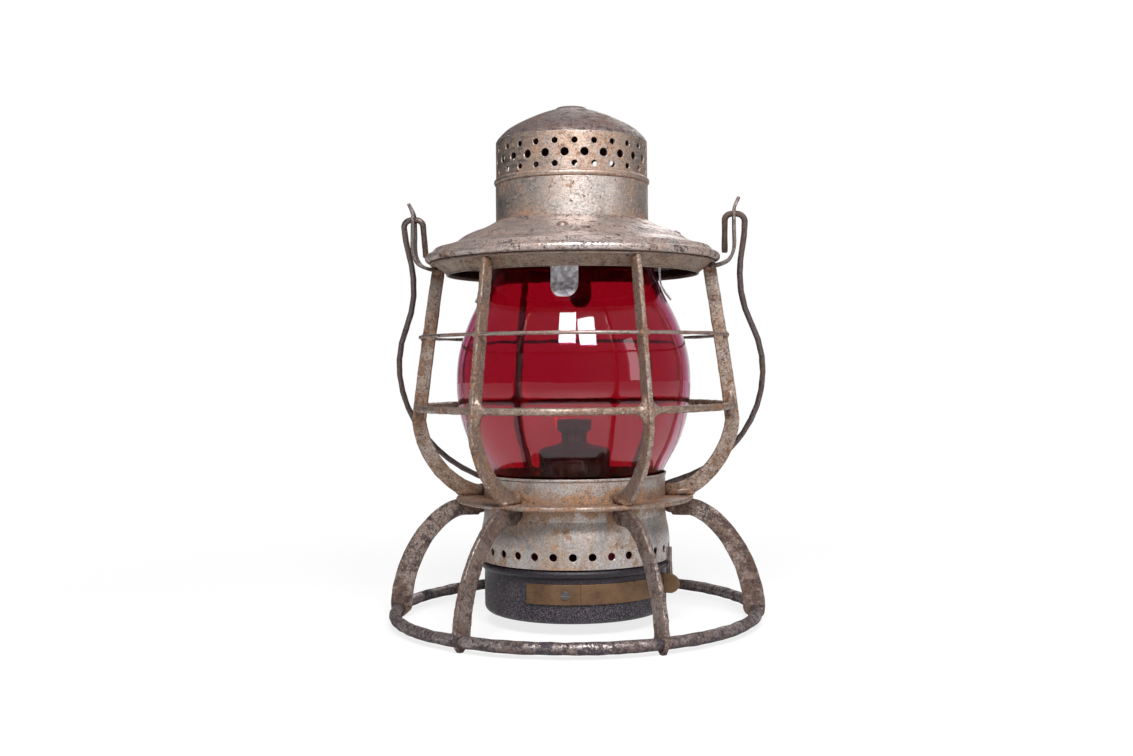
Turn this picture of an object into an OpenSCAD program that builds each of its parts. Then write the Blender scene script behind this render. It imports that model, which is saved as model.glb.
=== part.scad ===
// Railroad lantern with a barrel globe, a wire-guarded cage and a bottom fount.
// Millimetres, +Z up, origin on the floor at the lantern's axis, front towards -Y.

/* [Base ring and legs] */
// Outer diameter of the base ring
base_ring_d = 178; // [160:1:200]
// Diameter of the base ring's rod
base_rod_d = 5.5; // [4:0.5:8]
// How far the foot tips stand below the rod
foot_drop = 2; // [1:0.5:4]
// How far each foot reaches outside the ring
foot_nub = 1.4; // [0.8:0.2:3]
// Thickness of the flat bars of legs and ribs
bar_t = 2.4; // [1.5:0.1:4]
// Radial depth of a leg at the flange
leg_top_depth = 7.8; // [5:0.2:10]
// Radial depth of a leg at the base ring
leg_foot_depth = 10.6; // [9:0.2:14]

/* [Flange and collar] */
// Height of the flange's underside above the floor
flange_z = 57.9; // [50:0.1:70]
// Thickness of the flange plate
flange_t = 1.6; // [1:0.1:3]
// Outer diameter of the flange, over its rolled edge
flange_d = 113.6; // [100:0.2:125]
// Diameter of the flange's rolled edge
flange_bead_d = 2.4; // [1.8:0.1:4]
// Outer diameter of the collar's neck
collar_d = 87; // [80:0.5:95]
// Sheet thickness of the collar
collar_t = 0.8; // [0.5:0.1:1.5]
// Height of the collar above the flange's underside
collar_rise = 12.8; // [8:0.2:20]
// Outer diameter of the collar's perforated skirt
skirt_d = 90.6; // [88:0.2:100]
// Height of the collar below the flange's underside
skirt_drop = 27.5; // [22:0.5:32]
// Number of air holes in the skirt
air_holes = 32; // [12:1:34]
// Turn of the row of air holes from the front, in degrees
air_hole_turn = 3.6; // [0:0.1:11]
// Diameter of each air hole
air_hole_d = 3.6; // [2:0.2:5]

/* [Cage] */
// Outer diameter over the ribs at their widest
cage_d = 158; // [150:1:170]
// Height of the ribs' widest point
cage_belly_z = 96; // [90:1:102]
// Outer diameter over the rib tops
rib_top_d = 136.6; // [132:0.2:140]
// Radial depth of a rib at its top
rib_top_depth = 6.2; // [4:0.2:8]
// Radial depth of a rib at the flange
rib_low_depth = 8; // [5:0.2:10]
// Wire diameter of the upper guard
upper_wire_d = 1.7; // [1:0.1:3]
// Height of the upper guard wire
upper_wire_z = 135.8; // [125:0.5:145]
// Wire diameter of the lower guard
lower_wire_d = 3.4; // [2:0.1:4]
// Height of the lower guard wire
lower_wire_z = 102.3; // [98:0.5:110]

/* [Top band] */
// Height of the top face of the band that the lid sits on
band_z = 170.8; // [168:0.2:176]
// Outer diameter of the band's lip
band_d = 136.4; // [132:0.2:139]
// Diameter at the band's lower edge
band_low_d = 121; // [116:0.5:124]
// Height of the band
band_h = 5.8; // [4.5:0.1:7]
// Sheet thickness of the band
band_t = 0.8; // [0.6:0.1:1.2]

/* [Lid] */
// Outer diameter of the brim over its rolled rim
brim_d = 141.2; // [139:0.2:144]
// Diameter of the brim's rolled rim
rim_bead_d = 3.8; // [3:0.1:4.5]
// Rise of the brim from the rim's centre to the chimney
brim_rise = 17.4; // [15:0.2:20]
// Sheet thickness of the lid
lid_t = 0.9; // [0.6:0.1:1.2]
// Outer diameter of the chimney neck
neck_d = 73.2; // [70:0.2:78]
// Height of the chimney neck up to the hood's bead
neck_h = 17.6; // [15:0.2:24]
// Outer diameter of the perforated hood
hood_d = 72.6; // [70:0.2:76]
// Height of the hood from its bead to the dome
hood_h = 20.4; // [18:0.2:26]
// Diameter of the bead's section at the hood's foot
hood_bead_d = 3; // [2:0.1:4]
// Vent holes in each of the three rows
vent_holes = 25; // [15:1:27]
// Diameter of the vent holes of the outer rows
vent_small_d = 2.9; // [2:0.1:3.4]
// Diameter of the vent holes of the middle row
vent_large_d = 3.9; // [3:0.1:4.4]
// Spacing of the vent rows
vent_row_step = 5.2; // [4.6:0.1:5.8]
// Height of the dome over the hood
dome_h = 17.4; // [14:0.2:20]
// Diameter of the low crown on top of the dome
crown_d = 15; // [10:0.5:24]
// Height that the crown stands above the dome
crown_h = 0.9; // [0.4:0.1:2]
// Depth of the skirt that centres the lid in the band
lid_skirt_h = 8; // [6:0.2:9]

/* [Globe tabs] */
// Width of each globe tab
tab_w = 12.4; // [8:0.2:15]
// Sheet thickness of a globe tab
tab_t = 0.8; // [0.5:0.1:1.2]
// How far the tips of the globe tabs hang below the globe's shoulder
tab_tip_drop = 6.6; // [3:0.2:8]
// Head diameter of the rivets on the brim
rivet_d = 5; // [3:0.2:7]

/* [Lid hinge] */
// Distance of the hinge line behind the axis
hinge_y = 75; // [74:0.2:78]
// Height of the hinge line
hinge_z = 171.7; // [171:0.1:173]
// Outer diameter of the hinge knuckles
knuckle_d = 5; // [4.4:0.1:5.4]
// Diameter of the hinge pin
hinge_pin_d = 2.2; // [1.6:0.1:2.6]
// Width over all three knuckles
hinge_w = 24; // [18:0.5:30]

/* [Bail] */
// Wire diameter of the bail
bail_wire_d = 3; // [2.6:0.1:3.4]
// Half the distance between the bail's pivot holes
bail_pivot_x = 77.3; // [76:0.1:79]
// Height of the bail's pivot holes
bail_pivot_z = 193.3; // [190:0.5:197]
// Length of the hooked bail end inside the ear
bail_hook_l = 16; // [10:0.5:17]
// Depth from the pivot to the bail's narrowest place
bail_waist_z = 30; // [24:1:36]
// Half width at the bail's narrowest place
bail_waist_x = 80.3; // [80:0.1:82]
// Depth from the pivot to the bail's widest place
bail_belly_z = 82; // [78:1:86]
// Half width at the bail's widest place
bail_belly_x = 92.2; // [90:0.2:95]
// Radius of the bail's lower bends
bail_bend_r = 64; // [60:0.5:66]
// Turn of each lower bend before the grip, in degrees
bail_bend_turn = 64.4; // [62:0.2:67]

/* [Bail ears] */
// Width of each ear strip
ear_w = 9.6; // [7:0.2:12]
// Thickness of each ear strip
ear_t = 1.6; // [1:0.1:2.2]
// Clearance of the bail wire in its hole, on the radius
bail_play = 0.4; // [0.2:0.05:0.6]
// How far the ear's pointed tip rises above the hole
ear_tip_rise = 8; // [6:0.5:12]
// How far the pointed tip leans outwards
ear_tip_lean = 2.5; // [1.5:0.1:2.6]

/* [Globe] */
// Largest outer diameter of the globe
globe_d = 112; // [104:0.5:114]
// Gap between the globe's top and the foot of the chimney neck
globe_top_gap = 4.15; // [3:0.05:9]
// Gap between the globe's foot and the lip of its seat ring
globe_foot_gap = 0.9; // [0.6:0.1:1.4]
// Wall of the globe
globe_t = 3; // [2:0.2:4]
// Thickness of the ring that the globe stands on
seat_t = 1.2; // [0.8:0.1:2]
// Inner diameter of the ring that the globe stands on
seat_d = 70; // [60:1:74]

/* [Fount] */
// Gap between the fount and the inside of the skirt
fount_gap = 1; // [0.6:0.1:2.4]
// Height of the fount's underside above the floor
fount_z = 5.6; // [4:0.1:8]
// Wall of the fount
fount_t = 0.9; // [0.6:0.1:1.4]
// Diameter of the fount's rolled bead
fount_bead_d = 4; // [3:0.2:5]
// Corner radius at the fount's underside
fount_corner_r = 3; // [1.5:0.5:6]
// Height of the fount's top plate over the bead
fount_top_rise = 8; // [5:0.5:10]

/* [Latch strip] */
// Width of the brass strip
strip_w = 9; // [6:0.2:10]
// Thickness of the brass strip
strip_t = 0.9; // [0.5:0.1:1.4]
// Height of the strip's lower edge above the floor
strip_z = 14.8; // [12:0.2:16]
// Angle of the strip's fixed end, from the front towards -X
strip_start = 25; // [20:1:35]
// Angle of the line where the strip flexes, from the front towards +X
strip_flex = 8; // [5:1:15]
// Angle of the strip's free end, from the front towards +X
strip_end = 76; // [66:1:82]
// Length of the thumb tab
thumb_l = 8; // [6:0.5:10]
// Head diameter of the strip's screw
screw_d = 3.8; // [3:0.2:5]
// Thickness of the lug that the thumb tab hooks
lug_t = 0.8; // [0.6:0.1:1.4]
// How far the lug hangs below the collar
lug_drop = 10; // [6:0.5:13]
// Width of the lug as an angle round the collar
lug_angle = 6; // [4:0.5:10]

/* [Burner and wick] */
// Outer diameter of the burner's drum
burner_d = 34; // [30:0.5:38]
// Height of the burner drum's top above the floor
burner_z = 82.6; // [76:0.2:88]
// Outer diameter of the burner's screw collar
burner_collar_d = 28; // [24:0.5:30]
// Height of the screw collar
burner_collar_h = 5.5; // [4:0.5:7]
// Diameter of the burner's flared mouth
mouth_d = 16.8; // [14:0.2:20]
// Height of the burner's flared mouth above the drum
mouth_h = 13.2; // [10:0.2:15]
// Width of the flat wick
wick_w = 9.4; // [8:0.2:11]
// Thickness of the flat wick
wick_t = 2.2; // [1.5:0.1:3]
// Diameter of the wick shaft
wick_shaft_d = 2; // [1.6:0.1:2.6]
// Diameter of the star wheels that drive the wick
wick_wheel_d = 6; // [5:0.2:7]
// Diameter of the wick's thumb knob
knob_d = 12; // [9:0.5:14]
// Distance of the thumb knob's face from the axis
knob_x = 31; // [27:0.5:34]

/* [Hidden] */
$fn = 96;
fit = 0.05;
soft_gap = 0.3;
bar_count = 6;
bar_step = 360 / bar_count;
curve_steps = 5;

rod_r = base_rod_d / 2;
rod_z = foot_drop + rod_r;
ring_r = base_ring_d / 2 - rod_r;
flange_top = flange_z + flange_t;
flange_bead_z = flange_z + flange_t / 2;
flange_r = flange_d / 2;
collar_r = collar_d / 2;
collar_top = flange_z + collar_rise;
skirt_r = skirt_d / 2;
skirt_z = flange_z - skirt_drop;
air_hole_z = skirt_z + 5.6;

cage_r = cage_d / 2;
band_r = band_d / 2;
band_low_r = band_low_d / 2;
band_low_z = band_z - band_h;
band_lip = 2.2;
band_edge_h = 0.8;
rib_top_z = band_z - band_t;

rim_r = rim_bead_d / 2;
rim_z = band_z + soft_gap + rim_r;
rim_centre_r = brim_d / 2 - rim_r;
neck_r = neck_d / 2;
neck_z = rim_z + brim_rise;
neck_top = neck_z + neck_h;
hood_r = hood_d / 2;
hood_z = neck_top;
dome_z = hood_z + hood_h;
lid_top = dome_z + dome_h;
vent_mid_z = hood_z + hood_h * 0.53;
lid_skirt_r = band_low_r - band_t - 0.4;

globe_r = globe_d / 2;
seat_top = flange_top + 1.1;
globe_z = seat_top + fit;
globe_h = neck_z - globe_top_gap - globe_z;
seat_lip_t = 0.6;
seat_lip_r = collar_r - collar_t - fit - seat_lip_t;
globe_foot_r = (seat_lip_r - globe_foot_gap) / globe_r;
tab_tip_z = globe_z + globe_h * 0.785 - tab_tip_drop;
globe_neck_r = globe_r * 0.703;

fount_r = skirt_r - collar_t - fount_gap;
fount_bead_z = skirt_z - soft_gap - fount_bead_d / 2;
fount_bead_r = skirt_r - fount_bead_d / 2 + 0.1;
fount_rim_z = fount_bead_z + fount_bead_d / 2 + 0.6;
fount_top_z = fount_rim_z + fount_top_rise;
burner_base_z = fount_top_z + burner_collar_h;
wick_hole_w = wick_w + 1.2;
wick_hole_t = wick_t + 1.2;
wick_travel_low = 4;
wick_foot_z = fount_z + fount_t + wick_travel_low + 3;
wick_top_z = burner_z + mouth_h - 4;
wheel_gap = 0.1;
shaft_y = -(wick_t / 2 + wheel_gap + wick_wheel_d / 2);
shaft_z = burner_base_z + 9;
mouth_z = burner_z + mouth_h;

BARS = [for (i = [1:bar_count]) i];

// Points of a smooth curve through the given points, with a few steps between each two.
function clamped(p, i) = p[max(0, min(len(p) - 1, i))];
function between(a, b, c, d, t) =
    0.5 * (2 * b + (c - a) * t + (2 * a - 5 * b + 4 * c - d) * t * t
           + (3 * b - a - 3 * c + d) * t * t * t);
function curve(p, steps = curve_steps) = concat(
    [for (i = [0:len(p) - 2], k = [0:steps - 1])
        between(clamped(p, i - 1), p[i], p[i + 1], clamped(p, i + 2), k / steps)],
    [p[len(p) - 1]]);

// Unit vector to the left of an outline's direction at one of its points.
function left_of(p, i) =
    let (d = clamped(p, i + 1) - clamped(p, i - 1)) [-d[1], d[0]] / norm(d);
// The outline moved sideways by a distance that changes evenly from its start to its end.
function beside(p, start, end) =
    [for (i = [0:len(p) - 1]) p[i] + left_of(p, i) * (start + (end - start) * i / (len(p) - 1))];
function reversed(p) = [for (i = [len(p) - 1:-1:0]) p[i]];
// A closed strip between an outline and the same outline moved sideways.
function strip(p, start, end) = concat(p, reversed(beside(p, start, end)));
// A quarter of a rounded corner curve, from the level end to the upright end.
function bow(r0, z0, r1, z1, n, steps) = [for (i = [0:steps])
    let (a = 90 * i / steps)
    [r0 + (r1 - r0) * pow(sin(a), 2 / n), z1 + (z0 - z1) * pow(cos(a), 2 / n)]];

// Puts a flat outline, given as radius and height, upright in the plane at an angle from the front.
module upright(angle, thickness)
    rotate([0, 0, angle - 90])
        rotate([90, 0, 0])
            linear_extrude(height = thickness, center = true) children();

module torus(centre_r, wire_r, z)
    translate([0, 0, z])
        rotate_extrude()
            translate([centre_r, 0])
                circle(r = wire_r, $fn = 24);

// Angle of bar i from the front, counted towards +X.
function bar_angle(i) = (i - 0.5) * bar_step;
function is_side(i) = abs(abs(bar_angle(i) - 180) - 90) < 1;

module flange_shape(gap)
    rotate_extrude()
        union() {
            translate([collar_r + fit - gap, flange_z - gap])
                square([flange_r - flange_bead_d / 2 - collar_r - fit + gap, flange_t + 2 * gap]);
            translate([flange_r - flange_bead_d / 2, flange_bead_z])
                circle(r = flange_bead_d / 2 + gap, $fn = 24);
        }

module base_ring() color("dimgray") torus(ring_r, rod_r, rod_z);

// Outer edge of a leg, from under the flange down to its foot.
foot_r = base_ring_d / 2 + foot_nub;
function leg_outer(steps) = concat(
    [[collar_r + 3, flange_z - fit]],
    bow(flange_r - 1.6, flange_z - fit, foot_r, rod_z + 1.5, 1.7, steps));

module leg(i) {
    outer = leg_outer(22);
    tip_half = 1.1;
    color("silver")
        difference() {
            upright(bar_angle(i), bar_t)
                polygon(concat(
                    outer,
                    [[foot_r - 0.5, rod_z - 1.6], [ring_r + tip_half, 0], [ring_r - tip_half, 0],
                     [foot_r - leg_foot_depth + 0.8, rod_z - 1.2]],
                    reversed(beside(outer, -leg_top_depth, -leg_foot_depth))));
            flange_shape(fit);
            torus(ring_r, rod_r + fit, rod_z);
        }
}

// Outer edge of a rib, from the flange up over the belly to the top band.
function rib_outer() = concat(
    bow(collar_r + 2.5, flange_z - 0.9, cage_r, cage_belly_z, 1.75, 18),
    [for (i = [1:10])
        let (u = i / 10)
        [cage_r - (cage_r - rib_top_d / 2) * pow(u, 1.1),
         cage_belly_z + (rib_top_z - cage_belly_z) * u]]);

module band_space(gap)
    rotate_extrude()
        polygon([[0, band_low_z - 6], [band_low_r + gap, band_low_z - 6],
                 [band_low_r + gap, band_low_z + band_edge_h],
                 [band_r - band_lip, rib_top_z - gap], [band_r + 9, rib_top_z - gap],
                 [band_r + 9, band_z + 4], [0, band_z + 4]]);

module rib(i)
    color("silver")
        difference() {
            upright(bar_angle(i), bar_t)
                polygon(strip(rib_outer(), rib_low_depth, rib_top_depth));
            flange_shape(fit);
            translate([0, 0, flange_z - 10])
                cylinder(r = cage_r, h = 10 + flange_t + fit);
            translate([0, 0, flange_z])
                cylinder(r = collar_r + fit, h = collar_rise + 2);
            band_space(fit);
            torus(upper_wire_r(), upper_wire_d / 2 + fit, upper_wire_z);
            torus(lower_wire_r(), lower_wire_d / 2 + fit, lower_wire_z);
            if (is_side(i))
                translate([-cage_r, -ear_w, rib_top_z - ear_t - soft_gap])
                    cube([cage_d, 2 * ear_w, ear_t + 1]);
        }

function rib_r_at(z) =
    cage_r - (cage_r - rib_top_d / 2) * pow((z - cage_belly_z) / (rib_top_z - cage_belly_z), 1.1);
function upper_wire_r() = rib_r_at(upper_wire_z) - upper_wire_d / 2 + 0.3;
function lower_wire_r() = rib_r_at(lower_wire_z) - (rib_top_depth + rib_low_depth) / 4;

module upper_guard_wire() color("dimgray") torus(upper_wire_r(), upper_wire_d / 2, upper_wire_z);
module lower_guard_wire() color("silver") torus(lower_wire_r(), lower_wire_d / 2, lower_wire_z);

module flange_plate() color("silver") flange_shape(0);

// The collar's outline from its lower edge to its lip, given as radius and height.
function collar_outer() = concat(
    [[skirt_r, skirt_z]],
    curve([[skirt_r, skirt_z + 0.327 * skirt_drop], [skirt_r - 0.4, skirt_z + 0.473 * skirt_drop],
           [collar_r + 0.5, skirt_z + 0.636 * skirt_drop], [collar_r, skirt_z + 0.764 * skirt_drop]]),
    [[collar_r, collar_top - 1.6], [collar_r + 0.5, collar_top - 0.9], [collar_r + 0.5, collar_top]]);

module collar()
    color("silver")
        difference() {
            rotate_extrude()
                polygon(concat(collar_outer(), reversed([for (p = collar_outer()) p - [collar_t, 0]])));
            for (i = [0:air_holes - 1])
                rotate([0, 0, air_hole_turn + i * 360 / air_holes])
                    translate([0, -skirt_r + 4, air_hole_z])
                        rotate([90, 0, 0])
                            cylinder(d = air_hole_d, h = 8, $fn = 24);
        }

module globe_seat_ring()
    color("silver")
        rotate_extrude()
            polygon([[seat_d / 2, seat_top - seat_t], [collar_r - collar_t - fit, seat_top - seat_t],
                     [collar_r - collar_t - fit, seat_top + 2.2],
                     [seat_lip_r, seat_top + 2.2], [seat_lip_r, seat_top], [seat_d / 2, seat_top]]);

module top_band()
    color("silver")
        rotate_extrude()
            polygon([[band_low_r, band_low_z], [band_low_r, band_low_z + band_edge_h],
                     [band_r - band_lip, rib_top_z], [band_r, rib_top_z], [band_r, band_z],
                     [band_r - band_lip - 0.3, band_z], [band_low_r - band_t, band_low_z + 1.3],
                     [band_low_r - band_t, band_low_z]]);

// Centre line of the ear strip, given as distance from the axis and height.
function ear_line() = curve([
    [band_r - band_lip, rib_top_z - ear_t / 2 - fit], [band_r + 1.4, rib_top_z - ear_t / 2 - fit],
    [bail_pivot_x - 2.6, rib_top_z + 1.6], [bail_pivot_x - 0.1, rib_top_z + 7],
    [bail_pivot_x, bail_pivot_z - 7], [bail_pivot_x, bail_pivot_z],
    [bail_pivot_x + 0.4, bail_pivot_z + 3.4],
    [bail_pivot_x + ear_tip_lean, bail_pivot_z + ear_tip_rise]]);

module bail_ear(side)
    color("dimgray")
        mirror([side < 0 ? 1 : 0, 0, 0])
            difference() {
                intersection() {
                    rotate([90, 0, 0])
                        linear_extrude(height = ear_w, center = true)
                            polygon(concat(beside(ear_line(), ear_t / 2, ear_t / 2),
                                           reversed(beside(ear_line(), -ear_t / 2, -ear_t / 2))));
                    rotate([90, 0, 90])
                        linear_extrude(height = cage_d)
                            polygon([[-ear_w / 2, rib_top_z - 4], [ear_w / 2, rib_top_z - 4],
                                     [ear_w / 2, rib_top_z + 6], [ear_w / 2 - 0.8, bail_pivot_z],
                                     [ear_w / 2 - 2.2, bail_pivot_z + 3.2],
                                     [0.6, bail_pivot_z + ear_tip_rise + 1],
                                     [-0.6, bail_pivot_z + ear_tip_rise + 1],
                                     [2.2 - ear_w / 2, bail_pivot_z + 3.2],
                                     [0.8 - ear_w / 2, bail_pivot_z]]);
                }
                translate([bail_pivot_x, 0, bail_pivot_z])
                    rotate([0, 90, 0])
                        cylinder(r = bail_wire_d / 2 + bail_play, h = 4 * ear_t, center = true, $fn = 32);
            }

// Bail path on one side as arcs of [radius, turn]: a positive turn bends towards the bail's
// middle and a negative one bends away.
hook_r = 3.1;
top_r = 4;
pivot_half = ear_t / 2 + bail_play;
upper_side = bail_pivot_x + pivot_half + top_r;
waist_in = upper_side - bail_waist_x;
waist_drop = bail_waist_z - top_r;
waist_turn = 2 * atan(waist_in / waist_drop);
waist_bend_r = waist_drop / (2 * sin(waist_turn));
belly_out = bail_belly_x - bail_waist_x;
belly_drop = bail_belly_z - bail_waist_z;
belly_turn = 2 * atan(belly_out / belly_drop);
belly_bend_r = belly_drop / (2 * sin(belly_turn));
grip_turn = 90 - bail_bend_turn;
grip_half = bail_belly_x - bail_bend_r * (1 - cos(bail_bend_turn));
grip_r = grip_half / sin(grip_turn);
BAIL_STEPS = [
    [top_r, 90],
    [waist_bend_r, waist_turn], [waist_bend_r, -waist_turn],
    [belly_bend_r, -belly_turn], [belly_bend_r, belly_turn],
    [bail_bend_r, bail_bend_turn], [grip_r, grip_turn]];

// Depth of the grip's centre line below the pivots at a distance from the middle.
function grip_depth(x) =
    bail_belly_z + bail_bend_r * sin(bail_bend_turn) + sqrt(grip_r * grip_r - x * x)
    - grip_r * cos(grip_turn);

// Angle from straight down at which the bail comes to rest on the two rear legs.
bail_reach = bail_wire_d / 2 + soft_gap;
bail_rest_angle = max(concat([0], [for (p = leg_outer(90), side = [-1, 1])
    let (
        a = bar_step / 2,
        x = p[0] * sin(a) + side * bar_t / 2 * cos(a),
        y = p[0] * cos(a) - side * bar_t / 2 * sin(a),
        below = bail_pivot_z - p[1],
        far = norm([y, below]),
        d = grip_depth(x))
    if (abs(far - d) < bail_reach)
        atan2(y, below) + acos((far * far + d * d - bail_reach * bail_reach) / (2 * far * d))]));

// A point along an arc from a place and a heading in the plane of X and Z.
function arc_point(p, a, r, turn) = p + r * [sin(a + turn) - sin(a), cos(a + turn) - cos(a)];
// Points along arcs of [radius, turn], heading +X at first, where a positive turn bends downwards.
function arc_line(steps, p, a = 0, i = 0) =
    i == len(steps) ? [p] : let (
        turn = steps[i][1],
        r = steps[i][0] * sign(turn),
        n = max(2, ceil(abs(turn) / bend_step)))
    concat([for (k = [0:n - 1]) arc_point(p, a, r, turn * k / n)],
           arc_line(steps, arc_point(p, a, r, turn), a + turn, i + 1));

// The bail's centre line as distance from the middle and height over the pivots: first the half
// on the right, from the hook's end through the ear to the middle of the grip.
bend_step = 9;
hook_line = [for (p = arc_line([[hook_r, 90]], [pivot_half - bail_pivot_x, 0])) [-p[0], p[1]]];
hook_end = [bail_pivot_x - pivot_half - hook_r, -hook_r - bail_hook_l];
half_line = concat([hook_end], reversed(hook_line),
                   arc_line(BAIL_STEPS, [bail_pivot_x + pivot_half, 0]));
bail_line = concat(half_line,
                   [for (i = [len(half_line) - 2:-1:0]) [-half_line[i][0], half_line[i][1]]]);

// Round wire along a line in the plane of X and Z.
module wire(line, d, sides = 12) {
    last = (len(line) - 1) * sides;
    points = [for (i = [0:len(line) - 1], k = [0:sides - 1])
        let (out = left_of(line, i) * cos(360 * k / sides) * d / 2)
        [line[i][0] + out[0], sin(360 * k / sides) * d / 2, line[i][1] + out[1]]];
    faces = [for (i = [0:len(line) - 2], k = [0:sides - 1], half = [0, 1])
        let (
            a = i * sides + k,
            b = i * sides + (k + 1) % sides)
        half == 0 ? [a, b, b + sides] : [a, b + sides, a + sides]];
    polyhedron(points, concat(
        [[for (k = [sides - 1:-1:0]) k], [for (k = [0:sides - 1]) last + k]], faces));
}

module bail()
    color("dimgray")
        translate([0, 0, bail_pivot_z])
            rotate([bail_rest_angle, 0, 0])
                wire(bail_line, bail_wire_d);

// Globe outline as a share of its radius and height.
function globe_point(r, h) = [globe_r * r, globe_z + globe_h * h];
function globe_outer() = concat(
    [globe_point(globe_foot_r, 0)],
    curve([globe_point(globe_foot_r, 0.06), globe_point(globe_foot_r + 0.05, 0.107), globe_point(0.9, 0.2),
           globe_point(0.978, 0.318), globe_point(1, 0.437), globe_point(0.972, 0.548),
           globe_point(0.885, 0.66), globe_point(0.775, 0.76), globe_point(0.712, 0.835),
           globe_point(0.703, 0.89)]),
    [globe_point(0.703, 1)]);

module globe()
    color("red", 0.6)
        rotate_extrude()
            polygon(concat(globe_outer(), reversed(beside(globe_outer(), globe_t, globe_t))));

// Upper line of the brim, from the chimney to the rolled rim, as radius and height.
function brim_point(f, drop) =
    [neck_r + (rim_centre_r - neck_r) * f, neck_z - (brim_rise - rim_r + lid_t / 2) * drop];
function brim_upper() = concat(
    curve([brim_point(0.012, 0), brim_point(0.12, 0.12), brim_point(0.24, 0.235),
           brim_point(0.37, 0.33), brim_point(0.475, 0.43), brim_point(0.56, 0.545)]),
    [brim_point(0.6, 0.615), brim_point(0.87, 0.8), brim_point(0.91, 0.805),
     brim_point(0.95, 0.9), [rim_centre_r, rim_z + rim_r - 0.5]]);

module lid_brim()
    color("silver")
        difference() {
            union() {
                rotate_extrude()
                    polygon(concat(brim_upper(), reversed([for (p = brim_upper()) p - [0, lid_t]])));
                torus(rim_centre_r, rim_r, rim_z);
            }
            at_rivets() cylinder(r = rivet_d / 4 + fit, h = 4 * lid_t, center = true, $fn = 24);
        }

module lid_skirt()
    color("silver")
        rotate_extrude()
            polygon([[lid_skirt_r - lid_t, brim_under(lid_skirt_r) - lid_skirt_h],
                     [lid_skirt_r, brim_under(lid_skirt_r) - lid_skirt_h],
                     [lid_skirt_r, brim_under(lid_skirt_r) - fit],
                     [lid_skirt_r - lid_t, brim_under(lid_skirt_r - lid_t) - fit]]);

// Height of the brim's underside at a radius on its straight part.
function brim_under(r) = let (
    a = brim_point(0.6, 0.615),
    b = brim_point(0.87, 0.8))
    a[1] + (b[1] - a[1]) * (r - a[0]) / (b[0] - a[0]) - lid_t;

module chimney_neck()
    color("silver")
        translate([0, 0, neck_z - 1.6])
            difference() {
                cylinder(d = neck_d - 2 * fit, h = neck_h + 1.6 - fit);
                translate([0, 0, -1])
                    cylinder(d = neck_d - 2 * lid_t, h = neck_h + 4);
            }

module vent_hood()
    color("tan")
        difference() {
            rotate_extrude()
                union() {
                    translate([hood_r - lid_t, hood_z])
                        square([lid_t, hood_h]);
                    translate([hood_r - lid_t / 2, hood_z + hood_bead_d / 2])
                        circle(d = hood_bead_d, $fn = 24);
                }
            translate([0, 0, hood_z - 1])
                cylinder(r = hood_r - lid_t, h = hood_h + 2);
            for (row = [-1:1], i = [0:vent_holes - 1])
                rotate([0, 0, (i + (row == 0 ? 0 : 0.5)) * 360 / vent_holes])
                    translate([0, -hood_r + 4, vent_mid_z + row * vent_row_step])
                        rotate([90, 0, 0])
                            cylinder(d = row == 0 ? vent_large_d : vent_small_d, h = 8, $fn = 24);
        }

// Dome outline from the hood's edge to the crown, as radius and height.
function dome_outer() = concat(
    curve([[hood_r, dome_z + fit], [hood_r - 1.4, dome_z + 0.12 * dome_h],
           [hood_r * 0.85, dome_z + 0.34 * dome_h], [hood_r * 0.665, dome_z + 0.56 * dome_h],
           [hood_r * 0.42, dome_z + 0.79 * dome_h], [crown_d / 2 + 1, lid_top - crown_h - 0.6]]),
    curve([[crown_d / 2 - 0.4, lid_top - crown_h * 0.45], [crown_d / 4, lid_top - 0.15], [0, lid_top]]));

module dome_cap()
    color("rosybrown")
        rotate_extrude()
            polygon(concat(dome_outer(), [[0, lid_top - lid_t]],
                           [for (p = reversed(dome_outer())) if (p[0] > 3)
                               [p[0] - lid_t, max(dome_z + fit, p[1] - lid_t)]]));

module draft_cone() {
    low = [neck_r - 7, neck_top - 5];
    high = [neck_r * 0.4, neck_top + 5];
    color("dimgray")
        union() {
            rotate_extrude()
                polygon([low, high, high - [0, lid_t], low - [0, lid_t]]);
            for (i = [0:2])
                rotate([0, 0, 60 + i * 120])
                    translate([low[0] - 2, -3, low[1] - lid_t])
                        intersection() {
                            cube([20, 6, lid_t]);
                            translate([2 - low[0], 3, -1])
                                cylinder(r = neck_r - lid_t - fit, h = 4);
                        }
        }
}

// Centre line of a globe tab, from its foot under the brim down to its tip.
tab_neck_r = globe_neck_r + 2.4;
tab_sag = pow(tab_w / 2, 2) / (2 * neck_r) * brim_rise / (rim_centre_r - neck_r);
tab_seat = [0, lid_t + tab_t * 0.56 + fit + tab_sag];
function tab_line() = concat(
    [brim_point(0.475, 0.43) - tab_seat, brim_point(0.37, 0.33) - tab_seat,
     brim_point(0.2, 0.225) - tab_seat, [tab_neck_r, neck_z - 5.6]],
    curve([[tab_neck_r, globe_z + globe_h * 0.835], [tab_neck_r + 0.9, globe_z + globe_h * 0.785],
           [globe_r * 0.84, tab_tip_z]], 3));

module globe_tabs()
    color("gainsboro")
        for (i = [0:3])
            difference() {
                globe_tab(i);
                at_rivets() cylinder(r = rivet_d / 4 + fit, h = 8 * lid_t, center = true, $fn = 24);
            }

module globe_tab(i)
    intersection() {
        upright(i * 90, tab_w)
            polygon(concat(beside(tab_line(), tab_t / 2, tab_t / 2),
                           reversed(beside(tab_line(), -tab_t / 2, -tab_t / 2))));
        rotate([0, 0, i * 90])
            translate([0, 0, tab_tip_z + tab_w / 2 - 0.6])
                union() {
                    translate([-tab_w / 2, -brim_d / 2, 0])
                        cube([tab_w, brim_d / 2, lid_top]);
                    rotate([90, 0, 0])
                        cylinder(d = tab_w, h = brim_d / 2);
                }
    }

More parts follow.
